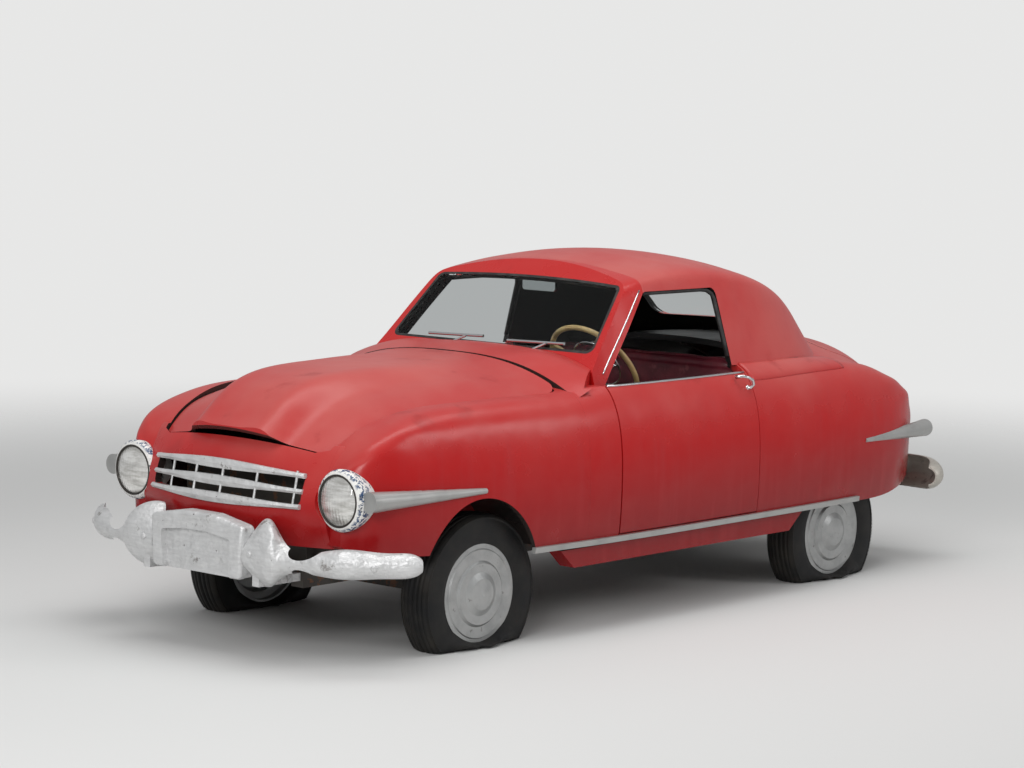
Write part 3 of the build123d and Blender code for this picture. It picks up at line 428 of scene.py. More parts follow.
# %% Rubber, leather, glass and plastics
rubber = Finish("tyre_rubber")
span = axle_distance(rubber)
dust = rubber.noise(9.0, 5).step(0.35, 0.7) * (0.35 + span.step(0.285, 0.30) * 0.4)
dusty = rubber.mix(dust, (0.006, 0.006, 0.0065), (0.030, 0.026, 0.021))
rubber.set(Base_Color=dusty, Roughness=0.66, Specular_IOR_Level=0.35)
moulded_lines = (span * 900.0).sin() * 0.25 * span.step(0.292, 0.285)
rubber.bump(moulded_lines + rubber.noise(70.0, 4) * 0.5, 0.0008, 0.6)


def two_tone(name, low, high, scale, detail, limits, roughness):
    """A finish whose colour wanders between two tones."""
    made = Finish(name).set(Roughness=roughness)
    made.set(Base_Color=made.mix(made.noise(scale, detail).step(*limits), low, high))
    return made


BLACK, DUSTY_BLACK = (0.012, 0.012, 0.012), (0.05, 0.047, 0.044)
seal = two_tone("seal_rubber", BLACK, DUSTY_BLACK, 25.0, 4, (0.4, 0.8), 0.55)

leather = Finish("maroon_leather")
creases = leather.noise(6.0, 6, roughness=0.7)
hide = leather.mix(creases.step(0.35, 0.75), (0.115, 0.012, 0.022), (0.23, 0.030, 0.045))
hide = leather.mix(leather.noise(22.0, 5).step(0.62, 0.72) * 0.5, hide, (0.30, 0.09, 0.09))
leather.set(Base_Color=hide, Roughness=0.42 + creases * 0.2, Coat_Weight=0.1)
leather.bump(leather.cells(260.0) * 0.4 + creases * 8.0, 0.0010, 0.7)

IVORY, OLD_IVORY = (0.56, 0.40, 0.18), (0.36, 0.22, 0.09)
ivory = two_tone("ivory_rim", IVORY, OLD_IVORY, 14.0, 5, (0.35, 0.75), 0.35)
MAROON, WORN_MAROON = (0.045, 0.010, 0.011), (0.075, 0.018, 0.018)
dash_paint = two_tone("dash_paint", MAROON, WORN_MAROON, 8.0, 4, (0.4, 0.7), 0.4)

pane = Finish("window_pane").set(Base_Color=(0.93, 0.96, 0.95), Roughness=0.03)
pane.set(Transmission_Weight=1.0, IOR=1.15)
lens = Finish("ribbed_lens").set(Metallic=0.55, Roughness=0.16)
lens.set(Coat_Weight=1.0, Coat_Roughness=0.04)
flutes = (lens.x.abs() * 420.0).sin() * 0.3 + (lens.z * 110.0).sin() * 0.35
streaks = lens.noise(9.0, 4, stretch=(0.6, 1, 3.0), roughness=0.7)
lens.set(Base_Color=lens.mix(streaks.step(0.35, 0.68), (0.92, 0.91, 0.88), (0.46, 0.45, 0.42)))
lens.bump(flutes + streaks, 0.0016, 0.8)
dark_rim = Finish("dark_rim").set(Base_Color=(0.05, 0.045, 0.04), Metallic=0.6, Roughness=0.45)
tail_red = Finish("tail_red").set(Base_Color=(0.30, 0.005, 0.006), Roughness=0.12)
tail_red.set(Coat_Weight=1.0)
tail_red.bump((tail_red.z * 900.0).sin(), 0.0006, 0.6)
mirror = Finish("mirror").set(Base_Color=(0.55, 0.57, 0.58), Metallic=1.0, Roughness=0.08)
print("materials:", len(bpy.data.materials))

# %% [markdown]
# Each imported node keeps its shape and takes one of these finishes.

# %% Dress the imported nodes
dress = {
    hood_paint: ["hood"],
    fender_paint: ["nose_panel", "front_fender_left", "front_fender_right", "cowl"],
    tail_paint: ["rear_body", "trunk_lid"],
    door_paint: ["door_left", "door_right"],
    top_paint: ["roof_front_panel", "roof_rear_panel"],
    screen_paint: ["windscreen_frame"],
    lamp_paint: ["headlamp_pods"],
    lens: ["headlamp_lenses"],
    pane: ["window_glass"],
    seal: ["windscreen_seal"],
    front_silver: ["front_bumper", "grille_bars"],
    rear_silver: ["rear_bumper"],
    spear_paint: ["side_trim"],
    bright: ["wipers"],
    mirror: ["interior_mirror"],
    wheel_metal: [name for name in nodes if name.startswith("wheel_")],
    rubber: [name for name in nodes if name.startswith("tyre_")],
    leather: ["bench_seat"],
    dash_paint: ["dashboard"],
    ivory: ["steering_wheel"],
    floor_paint: ["floor_pan"],
    pan_paint: ["sill_pans"],
    dark_steel: ["chassis_frame", "steering_column", "engine_block", "exhaust_pipe", "fuel_tank",
                 "front_axle", "rear_axle", "leaf_springs", "knuckle_left", "knuckle_right"],
}
for finish, names in dress.items():
    for name in names:
        nodes[name].data.materials.clear()
        nodes[name].data.materials.append(finish.material)
print("dressed:", sum(len(names) for names in dress.values()))

# %% [markdown]
# Helpers for the added pieces: a mesh in place, a tube along points, and a mirror twin.

# %% Mesh helpers
def piece(name, points, faces, finish, body, slot=None, smooth=True):
    """A mesh in the car's own frame that rides with a body."""
    mesh = bpy.data.meshes.new(name)
    mesh.from_pydata([tuple(p) for p in points], [], faces)
    mesh.validate()
    tidy = bmesh.new()
    tidy.from_mesh(mesh)
    bmesh.ops.remove_doubles(tidy, verts=tidy.verts, dist=1e-5)
    bmesh.ops.recalc_face_normals(tidy, faces=tidy.faces)
    tidy.to_mesh(mesh)
    tidy.free()
    for polygon in mesh.polygons:
        polygon.use_smooth = smooth
    mesh.materials.append(finish.material)
    made = bpy.data.objects.new(name, mesh)
    bpy.context.collection.objects.link(made)
    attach(made, body)
    return made


def ring_faces(rings, sides, closed=False):
    """The quads between rings of points that lie one after the other."""
    faces = []
    for i in range(rings if closed else rings - 1):
        for k in range(sides):
            j, n = (i + 1) % rings, (k + 1) % sides
            faces.append((i * sides + k, i * sides + n, j * sides + n, j * sides + k))
    return faces


def tube(path, radius, sides=12, closed=False, flat=1.0):
    """Points and faces of a tube along a path, its section squashed by flat."""
    path = [Vector(p) for p in path]
    rings, normal = [], None
    for i, point in enumerate(path):
        before = path[i - 1] if i or closed else point
        after = path[(i + 1) % len(path)] if i < len(path) - 1 or closed else point
        along = (after - before).normalized()
        if normal is None:
            steep = abs(along.z) > 0.9
            normal = along.orthogonal() if steep else along.cross(Vector((0, 0, 1)))
            normal = normal.normalized()
        normal = (normal - along * normal.dot(along)).normalized()
        across = along.cross(normal)
        size = radius[i] if isinstance(radius, (list, tuple)) else radius
        rings.append([point + (normal * math.cos(a) + across * math.sin(a) * flat) * size
                      for a in (math.tau * k / sides for k in range(sides))])
    points = [p for ring in rings for p in ring]
    faces = ring_faces(len(rings), sides, closed)
    if not closed:
        faces.append(tuple(range(sides))[::-1])
        faces.append(tuple((len(rings) - 1) * sides + k for k in range(sides)))
    return points, faces


def spun(profile, centre, axis, sides=48):
    """Points and faces of a profile of (radius, height) turned about an axis."""
    axis = Vector(axis).normalized()
    side = axis.orthogonal().normalized()
    other = axis.cross(side)
    points = []
    for radius, height in profile:
        for k in range(sides):
            angle = math.tau * k / sides
            out = side * math.cos(angle) + other * math.sin(angle)
            points.append(Vector(centre) + axis * height + out * radius)
    return points, ring_faces(len(profile), sides)


def joined(*shapes):
    points, faces = [], []
    for more_points, more_faces in shapes:
        start = len(points)
        points += more_points
        faces += [tuple(start + i for i in face) for face in more_faces]
    return points, faces


print("mesh helpers ready")

# %% [markdown]
# Trim has to lie on the panels, not near them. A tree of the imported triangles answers
# where a straight line meets the skin, so a strip takes its place from the car itself.

# %% Finding the skin
def skin_of(*names):
    """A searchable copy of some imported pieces."""
    points, faces = [], []
    for name in names:
        start = len(points)
        points += [v.co.copy() for v in nodes[name].data.vertices]
        faces += [tuple(start + i for i in p.vertices) for p in nodes[name].data.polygons]
    return BVHTree.FromPolygons(points, faces)


def struck(skin, start, toward):
    """Where a line from a point meets the skin, and how the skin faces there."""
    return skin.ray_cast(Vector(start), Vector(toward))[:2]


def from_left(skin, y, z):
    """Where a line from far left meets the skin at a height and a distance along the car."""
    return struck(skin, (1.5, y, z), (-1, 0, 0))[0]


def on_both_sides(name, shape, finish, bodies, slot):
    """The shape on the car's left and its twin on the right, each with its own body."""
    points, faces = shape
    twin = [Vector((-p[0], p[1], p[2])) for p in points]
    piece(f"{name}_left", points, faces, finish, bodies[0], slot)
    piece(f"{name}_right", twin, faces, finish, bodies[1], slot)


both_on_body = ("car_body", "car_body")
both_on_doors = ("door_left", "door_right")
print("skin search ready")

# %% [markdown]
# Bolts and tyre teeth are one small shape set many times. A Geometry Nodes tree does that:
# each point carries the way the copy looks and the way it lies, and the copies are made
# real at the end, because a game engine takes only plain meshes.

# %% A tree that sets copies on points
def setting_tree():
    tree = bpy.data.node_groups.new("set_on_points", "GeometryNodeTree")
    for title, way, kind in (
        ("Geometry", "INPUT", "NodeSocketGeometry"), ("Shape", "INPUT", "NodeSocketObject"),
        ("Size", "INPUT", "NodeSocketFloat"), ("Finish", "INPUT", "NodeSocketMaterial"),
        ("Geometry", "OUTPUT", "NodeSocketGeometry"),
    ):
        tree.interface.new_socket(title, in_out=way, socket_type=kind)
    add, link = tree.nodes.new, tree.links.new
    given, result = add("NodeGroupInput"), add("NodeGroupOutput")
    to_points, shape = add("GeometryNodeMeshToPoints"), add("GeometryNodeObjectInfo")
    place, real = add("GeometryNodeInstanceOnPoints"), add("GeometryNodeRealizeInstances")
    paint = add("GeometryNodeSetMaterial")
    aims = []
    for title in ("aim", "lie"):
        read = add("GeometryNodeInputNamedAttribute")
        turn = add("FunctionNodeAlignRotationToVector")
        read.data_type = "FLOAT_VECTOR"
        read.inputs["Name"].default_value = title
        turn.axis = "Z" if title == "aim" else "X"
        link(read.outputs["Attribute"], turn.inputs["Vector"])
        aims.append(turn)
    aims[1].pivot_axis = "Z"
    link(aims[0].outputs[0], aims[1].inputs["Rotation"])
    link(given.outputs["Geometry"], to_points.inputs["Mesh"])
    link(given.outputs["Shape"], shape.inputs["Object"])
    link(to_points.outputs[0], place.inputs["Points"])
    link(shape.outputs["Geometry"], place.inputs["Instance"])
    link(aims[1].outputs[0], place.inputs["Rotation"])
    link(given.outputs["Size"], place.inputs["Scale"])
    link(place.outputs[0], real.inputs[0])
    link(real.outputs[0], paint.inputs["Geometry"])
    link(given.outputs["Finish"], paint.inputs["Material"])
    link(paint.outputs[0], result.inputs[0])
    return tree


SETTING = setting_tree()


def settled(thing):
    """A plain mesh of what the object's modifiers make of it."""
    graph = bpy.context.evaluated_depsgraph_get()
    return bpy.data.meshes.new_from_object(thing.evaluated_get(graph))


def set_on_points(name, spots, shape, finish, body, size=1.0):
    """Copies of a small (points, faces) shape at (place, aim, lie) spots, as one mesh."""
    stamp = bpy.data.meshes.new(f"{name}_stamp")
    stamp.from_pydata([tuple(p) for p in shape[0]], [], shape[1])
    model = bpy.data.objects.new(f"{name}_stamp", stamp)
    carrier_mesh = bpy.data.meshes.new(f"{name}_points")
    carrier_mesh.from_pydata([tuple(spot[0]) for spot in spots], [], [])
    for title, index in (("aim", 1), ("lie", 2)):
        values = carrier_mesh.attributes.new(title, "FLOAT_VECTOR", "POINT")
        for item, spot in zip(values.data, spots):
            item.vector = tuple(spot[index])
    carrier = bpy.data.objects.new(name, carrier_mesh)
    bpy.context.collection.objects.link(model)
    bpy.context.collection.objects.link(carrier)
    modifier = carrier.modifiers.new("setting", "NODES")
    modifier.node_group = SETTING
    inputs = {item.name: item.identifier for item in SETTING.interface.items_tree
              if item.in_out == "INPUT"}
    modifier[inputs["Shape"]] = model
    modifier[inputs["Size"]] = size
    modifier[inputs["Finish"]] = finish.material
    bpy.context.view_layer.update()
    made = settled(carrier)
    carrier.modifiers.remove(modifier)
    carrier.data = made
    if not made.materials:
        made.materials.append(finish.material)
    bpy.data.objects.remove(model)
    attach(carrier, body)


def bolt_head(radius, height, sides=12):
    """A low dome with a closed underside, looking up."""
    dome = [(radius, 0), (radius, height * 0.35),
            (radius * 0.72, height * 0.85), (radius * 0.3, height)]
    points, faces = spun(dome, (0, 0, 0), (0, 0, 1), sides)
    faces.append(tuple(range(sides))[::-1])
    faces.append(tuple(3 * sides + k for k in range(sides)))
    return points, faces


def bar(half_x, half_y, half_z):
    corners = ((-half_x, -half_y), (half_x, -half_y), (half_x, half_y), (-half_x, half_y))
    points = [(x, y, z) for z in (-half_z, half_z) for x, y in corners]
    walls = [(0, 1, 5, 4), (1, 2, 6, 5), (2, 3, 7, 6), (3, 0, 4, 7)]
    return points, [(3, 2, 1, 0), (4, 5, 6, 7)] + walls


print("setting tree:", len(SETTING.nodes), "nodes")

# %% [markdown]
# A tyre without air keeps its round shape above and folds under the rim. Here each ring of
# the tread's section is squeezed toward the bead as far as the floor asks, and the rubber
# that has no room goes sideways as a bulge with ripples. The ribs are part of the section.

# %% Flat tyres
TYRE_R, BEAD_R, FREE_WALL = 0.310, 0.1855, 0.124
BULGE, RIPPLE, CREASE, SLACK = 0.040, 0.009, 0.005, 0.004
section = [
    (0.0560, 0.1855), (0.0600, 0.1950), (0.0675, 0.2080), (0.0735, 0.2260), (0.0752, 0.2460),
    (0.0740, 0.2640), (0.0712, 0.2780), (0.0680, 0.2860), (0.0672, 0.2905), (0.0690, 0.2925),
    (0.0655, 0.2975), (0.0600, 0.3010), (0.0510, 0.3045), (0.0480, 0.3050), (0.0470, 0.2985),
    (0.0430, 0.2990), (0.0420, 0.3065), (0.0270, 0.3085), (0.0260, 0.3010), (0.0215, 0.3015),
    (0.0205, 0.3095), (0.0060, 0.3100), (0.0050, 0.3030), (0.0020, 0.3030),
]
section += [(-u, r) for u, r in section[::-1]]
inner_wall = [(-0.046, 0.190), (-0.058, 0.225), (-0.056, 0.268), (-0.03, 0.288)]
inner_wall += [(-u, r) for u, r in inner_wall[::-1]]
AROUND, TEETH = 240, 288


def sagged(u, r, angle, outward):
    """A point of the section at an angle from straight down, pressed by the floor."""
    limit = TYRE_R
    if math.cos(angle) > HUB_Z / TYRE_R:
        limit = HUB_Z / math.cos(angle)
    squeeze = (TYRE_R - limit) / FREE_WALL
    up_wall = max(0.0, (r - BEAD_R) / FREE_WALL)
    pressed = BEAD_R + (r - BEAD_R) * (limit - BEAD_R) / FREE_WALL if r > BEAD_R else r
    fold = math.sin(math.pi * min(1.0, up_wall * 1.04)) * squeeze
    side = 1 if u > 0 else -1
    ripples = RIPPLE * math.sin(angle * 9.0) + CREASE * math.sin(angle * 21.0 + 1.0)
    sideways = side * fold * (BULGE + ripples)
    slack = SLACK * math.sin(angle * 2.0 + 0.6) * math.sin(math.pi * min(1.0, up_wall)) * side
    lift = fold * 0.003 * math.sin(angle * 17.0) * (1 if up_wall < 0.9 else 0)
    return (u + sideways + slack) * outward, pressed + lift


def flat_tyre(side, axle_y):
    """The whole ring of rubber of one wheel, inside wall included."""
    loop = section + inner_wall
    points = []
    for i in range(AROUND):
        angle = math.tau * i / AROUND
        if angle > math.pi:
            angle -= math.tau
        for u, r in loop:
            across, radius = sagged(u, r, angle, side)
            height = max(0.0, HUB_Z - radius * math.cos(angle))
            points.append((side * WHEEL_X + across, axle_y + radius * math.sin(angle), height))
    return points, ring_faces(AROUND, len(loop), closed=True)


def shoulder_teeth(side, axle_y, outward):
    """Where the small teeth along one shoulder stand, apart from those on the floor."""
    spots = []
    for i in range(TEETH):
        angle = math.tau * i / TEETH - math.pi
        across, radius = sagged(0.0660 * outward, 0.2960, angle, side)
        radial = Vector((0, math.sin(angle), -math.cos(angle)))
        height = HUB_Z - radius * math.cos(angle)
        if height < 0.006:
            continue
        place = Vector((side * WHEEL_X + across, axle_y + radius * math.sin(angle), height))
        aim = (radial + Vector((0.8 * side * outward, 0, 0))).normalized()
        spots.append((place, aim, radial.cross(Vector((1, 0, 0)))))
    return spots


tooth = bar(0.0016, 0.0050, 0.0026)
for end, axle_y in (("front", -AXLE_Y), ("rear", AXLE_Y)):
    for hand, side in (("left", 1), ("right", -1)):
        wheel = f"wheel_{end}_{hand}"
        rubber_ring = piece(f"rubber_{end}_{hand}", *flat_tyre(side, axle_y), rubber, wheel, "tyre")
        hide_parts(f"tyre_{end}_{hand}")
        for outward in (1, -1):
            edge = "outer" if outward > 0 else "inner"
            spots = shoulder_teeth(side, axle_y, outward)
            set_on_points(f"teeth_{edge}_{end}_{hand}", spots, tooth, rubber, wheel)
print("tyres:", len(rubber_ring.data.polygons), "faces each")

# %% [markdown]
# The bench is two fat pads of maroon leathercloth. Each starts as a box with rolled edges,
# a little smaller than the finished pad; the voxel remesh gives it even cloth, pressure
# blows it up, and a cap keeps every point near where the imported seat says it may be.

# %% Padded bench seat
SEAT_VOXEL, AIR_PRESSURE, CLOTH_FRAMES = 0.014, 4.0, 20
NEAR = 1e-6


def rolled_box(low, high, roll, lean=0.0, top_corner=None):
    """A box between two corners with rolled edges, leaning back with height."""
    shape = bmesh.new()
    bmesh.ops.create_cube(shape, size=1.0)
    for vert in shape.verts:
        vert.co = Vector(low[i] + (high[i] - low[i]) * (vert.co[i] + 0.5) for i in range(3))
    rounded = {"profile": 0.5, "affect": "EDGES"}
    if top_corner:
        ends = [e for e in shape.edges if all(v.co.z > high[2] - NEAR for v in e.verts)
                and abs(e.verts[0].co.x - e.verts[1].co.x) < NEAR]
        bmesh.ops.bevel(shape, geom=ends, offset=top_corner, segments=8, **rounded)
    sharp = [e for e in shape.edges if e.calc_face_angle(0) > 0.7]
    bmesh.ops.bevel(shape, geom=sharp, offset=roll, segments=5, **rounded)
    for vert in shape.verts:
        vert.co.y += (vert.co.z - low[2]) * lean
    bmesh.ops.recalc_face_normals(shape, faces=shape.faces)
    mesh = bpy.data.meshes.new("pad_start")
    shape.to_mesh(mesh)
    shape.free()
    return mesh


def blown_up(name, mesh, cap):
    """The pad after remesh and pressure, no point further from its start than the cap."""
    pad = bpy.data.objects.new(name, mesh)
    bpy.context.collection.objects.link(pad)
    remesh = pad.modifiers.new("even_cloth", "REMESH")
    remesh.mode, remesh.voxel_size = "VOXEL", SEAT_VOXEL
    bpy.context.view_layer.update()
    pad.data = settled(pad)
    pad.modifiers.remove(remesh)
    start = [v.co.copy() for v in pad.data.vertices]
    cloth = pad.modifiers.new("air", "CLOTH")
    cloth.settings.use_pressure = True
    cloth.settings.uniform_pressure_force = AIR_PRESSURE
    cloth.settings.effector_weights.gravity = 0.0
    cloth.point_cache.frame_start, cloth.point_cache.frame_end = 1, CLOTH_FRAMES
    for step in range(1, CLOTH_FRAMES + 1):
        bpy.context.scene.frame_set(step)
    moved = settled(pad)
    pad.modifiers.remove(cloth)
    bpy.context.scene.frame_set(1)
    for vert, origin in zip(moved.vertices, start):
        shift = vert.co - origin
        if shift.length > cap:
            vert.co = origin + shift.normalized() * cap
    pad.data = moved
    return pad


def seamed(pad, seam, crumple):
    """Smooth the pad once, press its seam in and give the hide its slack creases."""
    finer = pad.modifiers.new("smooth", "SUBSURF")
    finer.levels = finer.render_levels = 1
    bpy.context.view_layer.update()
    pad.data = settled(pad)
    pad.modifiers.remove(finer)
    for vert in pad.data.vertices:
        x, y, z = vert.co
        dent = SEAM_DEPTH * math.exp(-(seam(x, y, z) / SEAM_WIDTH) ** 2)
        broad = math.sin(x * 17 + 3 * math.sin(z * 9 + y * 7)) * math.sin(y * 11 + z * 13 + 1)
        slack = crumple * (broad + 0.5 * math.sin(x * 41 + y * 23 + z * 31))
        vert.co = vert.co - vert.normal * (dent + slack)
    for polygon in pad.data.polygons:
        polygon.use_smooth = True
    pad.data.materials.clear()
    pad.data.materials.append(leather.material)
    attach(pad, "car_body")
    return pad


def front_seam(x, y, z):
    """How far a point of the cushion is from the seam round its front and ends."""
    return abs(z - 0.505) if y < 0.12 or abs(x) > 0.54 else 1.0


def top_seam(x, y, z):
    """How far a point of the back is from the seam under its top roll."""
    return abs(z - 0.955) if y < 0.63 and abs(x) < 0.5 else 1.0


SEAM_DEPTH, SEAM_WIDTH = 0.007, 0.008
CUSHION_HALF, BACK_HALF = 0.565, 0.560
low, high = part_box("bench_seat")
foot = low[2] + 0.004
start = rolled_box((-CUSHION_HALF, low[1] + 0.014, foot), (CUSHION_HALF, 0.545, 0.545), 0.045)
cushion = seamed(blown_up("seat_cushion", start, 0.022), front_seam, 0.0016)
top = (BACK_HALF, 0.672, high[2] - 0.016)
start = rolled_box((-BACK_HALF, 0.560, foot), top, 0.040, 0.02, 0.12)
back = seamed(blown_up("seat_back", start, 0.020), top_seam, 0.0020)
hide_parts("bench_seat")
print("seat:", len(cushion.data.polygons), len(back.data.polygons), "faces")

# %% [markdown]
# A piped welt runs over the top edge of the back and along the cushion's front. It is a
# thin tube laid on the pads' own skin.

# %% Welts on the seat
WELT_R, WELT_STEP = 0.0042, 0.022


def skin_of_mesh(mesh):
    points = [v.co.copy() for v in mesh.vertices]
    return BVHTree.FromPolygons(points, [tuple(p.vertices) for p in mesh.polygons])


def laid_on(skin, points, lift):
    """The points moved to the skin and lifted off it a little."""
    moved = []
    for point in points:
        near, normal, _, _ = skin.find_nearest(Vector(point))
        moved.append(near + normal * lift)
    return moved


back_line = []
for x in (i * WELT_STEP - 0.55 for i in range(51)):
    z = 0.985 - 0.085 * max(0.0, (abs(x) - 0.40) / 0.15) ** 2
    if z > 0.80:
        back_line.append((x, 0.60, z))
front_line = [(i * WELT_STEP - 0.528, 0.05, 0.545) for i in range(49)]
for pad, line in ((back, back_line), (cushion, front_line)):
    welt = tube(laid_on(skin_of_mesh(pad.data), line, 0.001), WELT_R, 8)
    piece(f"{pad.name}_welt", *welt, leather, "car_body", "seat_cover")
print("welts:", len(back_line), "points")

# %% [markdown]
# Bright strips finish the open window: one on top of the door, one up the back of the
# windscreen post. Black rubber follows the top and the rear of the opening, where the
# door's glass would close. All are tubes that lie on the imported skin.

# %% Window trims and seals
door_skin = skin_of("door_left")
top_skin = skin_of("windscreen_frame", "roof_front_panel", "roof_rear_panel")
door_low, door_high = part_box("door_left")

sill_line = []
for i in range(24):
    y = door_low[1] + 0.004 + (door_high[1] - door_low[1] - 0.008) * i / 23
    spot = from_left(door_skin, y, door_high[2] - 0.006)
    sill_line.append(spot + Vector((-0.008, 0, 0.007)))
strip = tube(sill_line, 0.0075, 10, flat=0.7)
on_both_sides("door_top_strip", strip, bright, both_on_doors, "bright_trim")

POST_FOOT, POST_HEAD = (-0.380, 0.985), (-0.072, 1.300)
post_line = []
for i in range(18):
    y = POST_FOOT[0] + (POST_HEAD[0] - POST_FOOT[0]) * i / 17
    z = POST_FOOT[1] + (POST_HEAD[1] - POST_FOOT[1]) * i / 17
    hit = struck(top_skin, (1.2, y - 0.016, z + 0.010), (-1, 0, 0))[0]
    if hit:
        post_line.append(hit + Vector((0.001, 0.004, 0)))
print("post strip:", len(post_line), "points")
on_both_sides("post_strip", tube(post_line, 0.0034, 8), bright, both_on_body, "bright_trim")

opening = [(-0.050, 1.2965), (0.02, 1.2975), (0.12, 1.2975), (0.22, 1.2975), (0.32, 1.2975),
           (0.360, 1.293), (0.384, 1.278), (0.3935, 1.255), (0.3965, 1.20), (0.399, 1.14),
           (0.402, 1.08), (0.405, 1.02), (0.407, 0.972)]
seal_line = []
for y, z in opening:
    hit = None
    for behind in (0.012, 0.022, 0.034):
        up, rear = (behind, 0) if z > 1.285 else (0, behind)
        hit = struck(top_skin, (1.2, y + rear, z + up), (-1, 0, 0))[0]
        if hit:
            break
    if hit:
        seal_line.append(Vector((hit.x - 0.010, y - 0.002, z - 0.001)))
print("window seal:", len(seal_line), "points")
on_both_sides("window_seal", tube(seal_line, 0.0088, 10), seal, both_on_body, "seal_rubber")

# %% [markdown]
# The door handle is a plain loop of round bar that stands off the skin, with a push
# button. It is where the top of the door meets the quarter.

# %% Door handles
HANDLE = (0.398, 0.912)
root = from_left(door_skin, *HANDLE)
loop_path = [root + Vector(p) for p in (
    (-0.006, -0.052, 0.030), (0.006, -0.050, 0.034), (0.020, -0.038, 0.036), (0.030, -0.014, 0.030),
    (0.034, 0.010, 0.018), (0.030, 0.022, 0.000), (0.018, 0.020, -0.014),
    (0.004, 0.012, -0.018), (-0.008, 0.008, -0.018))]
loop = tube(loop_path, [0.0085, 0.0070, 0.0062, 0.0060, 0.0062, 0.0068, 0.0075, 0.0085, 0.0090], 12)
on_both_sides("door_handle", loop, bright, both_on_doors, "bright_trim")
cap = [(0.0, 0.014), (0.010, 0.013), (0.0125, 0.009), (0.0125, -0.004)]
button = spun(cap, root + Vector((-0.001, 0.012, -0.018)), (1, 0, 0), 20)
on_both_sides("door_button", button, bright, both_on_doors, "bright_trim")
print("door handle at", [round(c, 3) for c in root])

# %% [markdown]
# The steering wheel has a bright horn ring: a thin hoop on two arms, and a domed button
# in the middle. They turn with the wheel, so they ride on its body.

# %% Horn ring and button
STEER_HUB, STEER_TILT = Vector((0.330, -0.110, 0.985)), math.radians(36)
steer_axis = Vector((0, math.cos(STEER_TILT), math.sin(STEER_TILT)))
steer_x = Vector((1, 0, 0))
steer_y = steer_axis.cross(steer_x)


def on_wheel(radius, degrees, height):
    a = math.radians(degrees)
    out = steer_x * math.cos(a) + steer_y * math.sin(a)
    return STEER_HUB + out * radius + steer_axis * height


HOOP_R, HOOP_UP = 0.112, 0.020
hoop = [on_wheel(HOOP_R, 15 * i, HOOP_UP) for i in range(24)]
shapes = [tube(hoop, 0.0040, 8, closed=True)]
for a in (0, 180):
    arm = [on_wheel(0.024, a, 0.012), on_wheel(0.070, a, HOOP_UP), on_wheel(0.110, a, HOOP_UP)]
    shapes.append(tube(arm, 0.0038, 8))
cap = [(0.0, 0.030), (0.014, 0.0285), (0.025, 0.023), (0.031, 0.014), (0.031, 0.004)]
shapes.append(spun(cap, STEER_HUB, steer_axis, 32))
piece("horn_ring", *joined(*shapes), bright, "steering_wheel", "bright_trim")
print(f"horn ring: {2000 * HOOP_R:.0f} mm across")

# %% [markdown]
# A thin dark rim holds each headlamp's fluted glass. It follows the glass's own edge, so
# the skin search finds how deep that edge lies, spot by spot.

# %% Headlamp rims
lens_low, lens_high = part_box("headlamp_lenses")
LENS_R, RIM_LAP = 0.092, 0.003
within, beyond = LENS_R - RIM_LAP, LENS_R + RIM_LAP
rim_line = []
lens_skin = skin_of("headlamp_lenses")
for i in range(48):
    a = math.tau * i / 48
    near_edge = (LAMP_X + within * math.cos(a), -2.5, LAMP_Z + within * math.sin(a))
    hit = struck(lens_skin, near_edge, (0, 1, 0))[0]
    depth = hit.y if hit else lens_low[1] + 0.02
    x, z = LAMP_X + beyond * math.cos(a), LAMP_Z + beyond * math.sin(a)
    rim_line.append(Vector((x, depth - 0.001, z)))
rim = tube(rim_line, 0.0046, 8, closed=True)
on_both_sides("lamp_rim", rim, dark_rim, both_on_body, "dark_steel")
print("lens from", [round(c, 3) for c in lens_low], "to", [round(c, 3) for c in lens_high])

# %% [markdown]
# Dome-headed bolts hold the bumper blades. Each is set where a line along the car meets
# the blade, and looks the way the blade faces there.

# %% Bumper bolts
for end, start_y, places, head, silver in (
    ("front", -2.6, ((0.292, 0.410), (0.772, 0.398)), bolt_head(0.013, 0.007), front_silver),
    ("rear", 2.6, ((0.300, 0.398), (0.640, 0.398)), bolt_head(0.014, 0.008), rear_silver),
):
    blade, spots = skin_of(f"{end}_bumper"), []
    for x, z in places:
        for sign in (1, -1):
            inward = (0, -math.copysign(1, start_y), 0)
            hit, normal = struck(blade, (sign * x, start_y, z), inward)
            if hit:
                spots.append((hit, normal, (0, 0, 1)))
    set_on_points(f"{end}_bumper_bolts", spots, head, silver, "car_body")
    print(end, "bumper bolts:", len(spots))

# %% [markdown]
# The tail lamps are small domed red lenses in the round ends of the rear spears. The number
# of lamps and their colour are what such a car needs.

# %% Tail lamps
trim_points = nodes["side_trim"].data.vertices
spear_points = [v.co for v in trim_points if v.co.y > 1.5 and v.co.x > 0.3]
spear_end = max(p.y for p in spear_points)
end_ring = [p for p in spear_points if p.y > spear_end - 0.030]
middle = sum((Vector(p) for p in end_ring), Vector()) / len(end_ring)
middle.y = spear_end
cap = [(0.0, 0.010), (0.009, 0.009), (0.016, 0.005), (0.0175, 0.0), (0.0175, -0.006)]
lamp_lens = spun(cap, middle, (0, 1, 0), 28)
on_both_sides("tail_lens", lamp_lens, tail_red, both_on_body, "lamp_lens")
print("tail lamps at", [round(c, 3) for c in middle])

# %% [markdown]
# The lid's handle is a short chromed bar on a round escutcheon, low on its centre line.

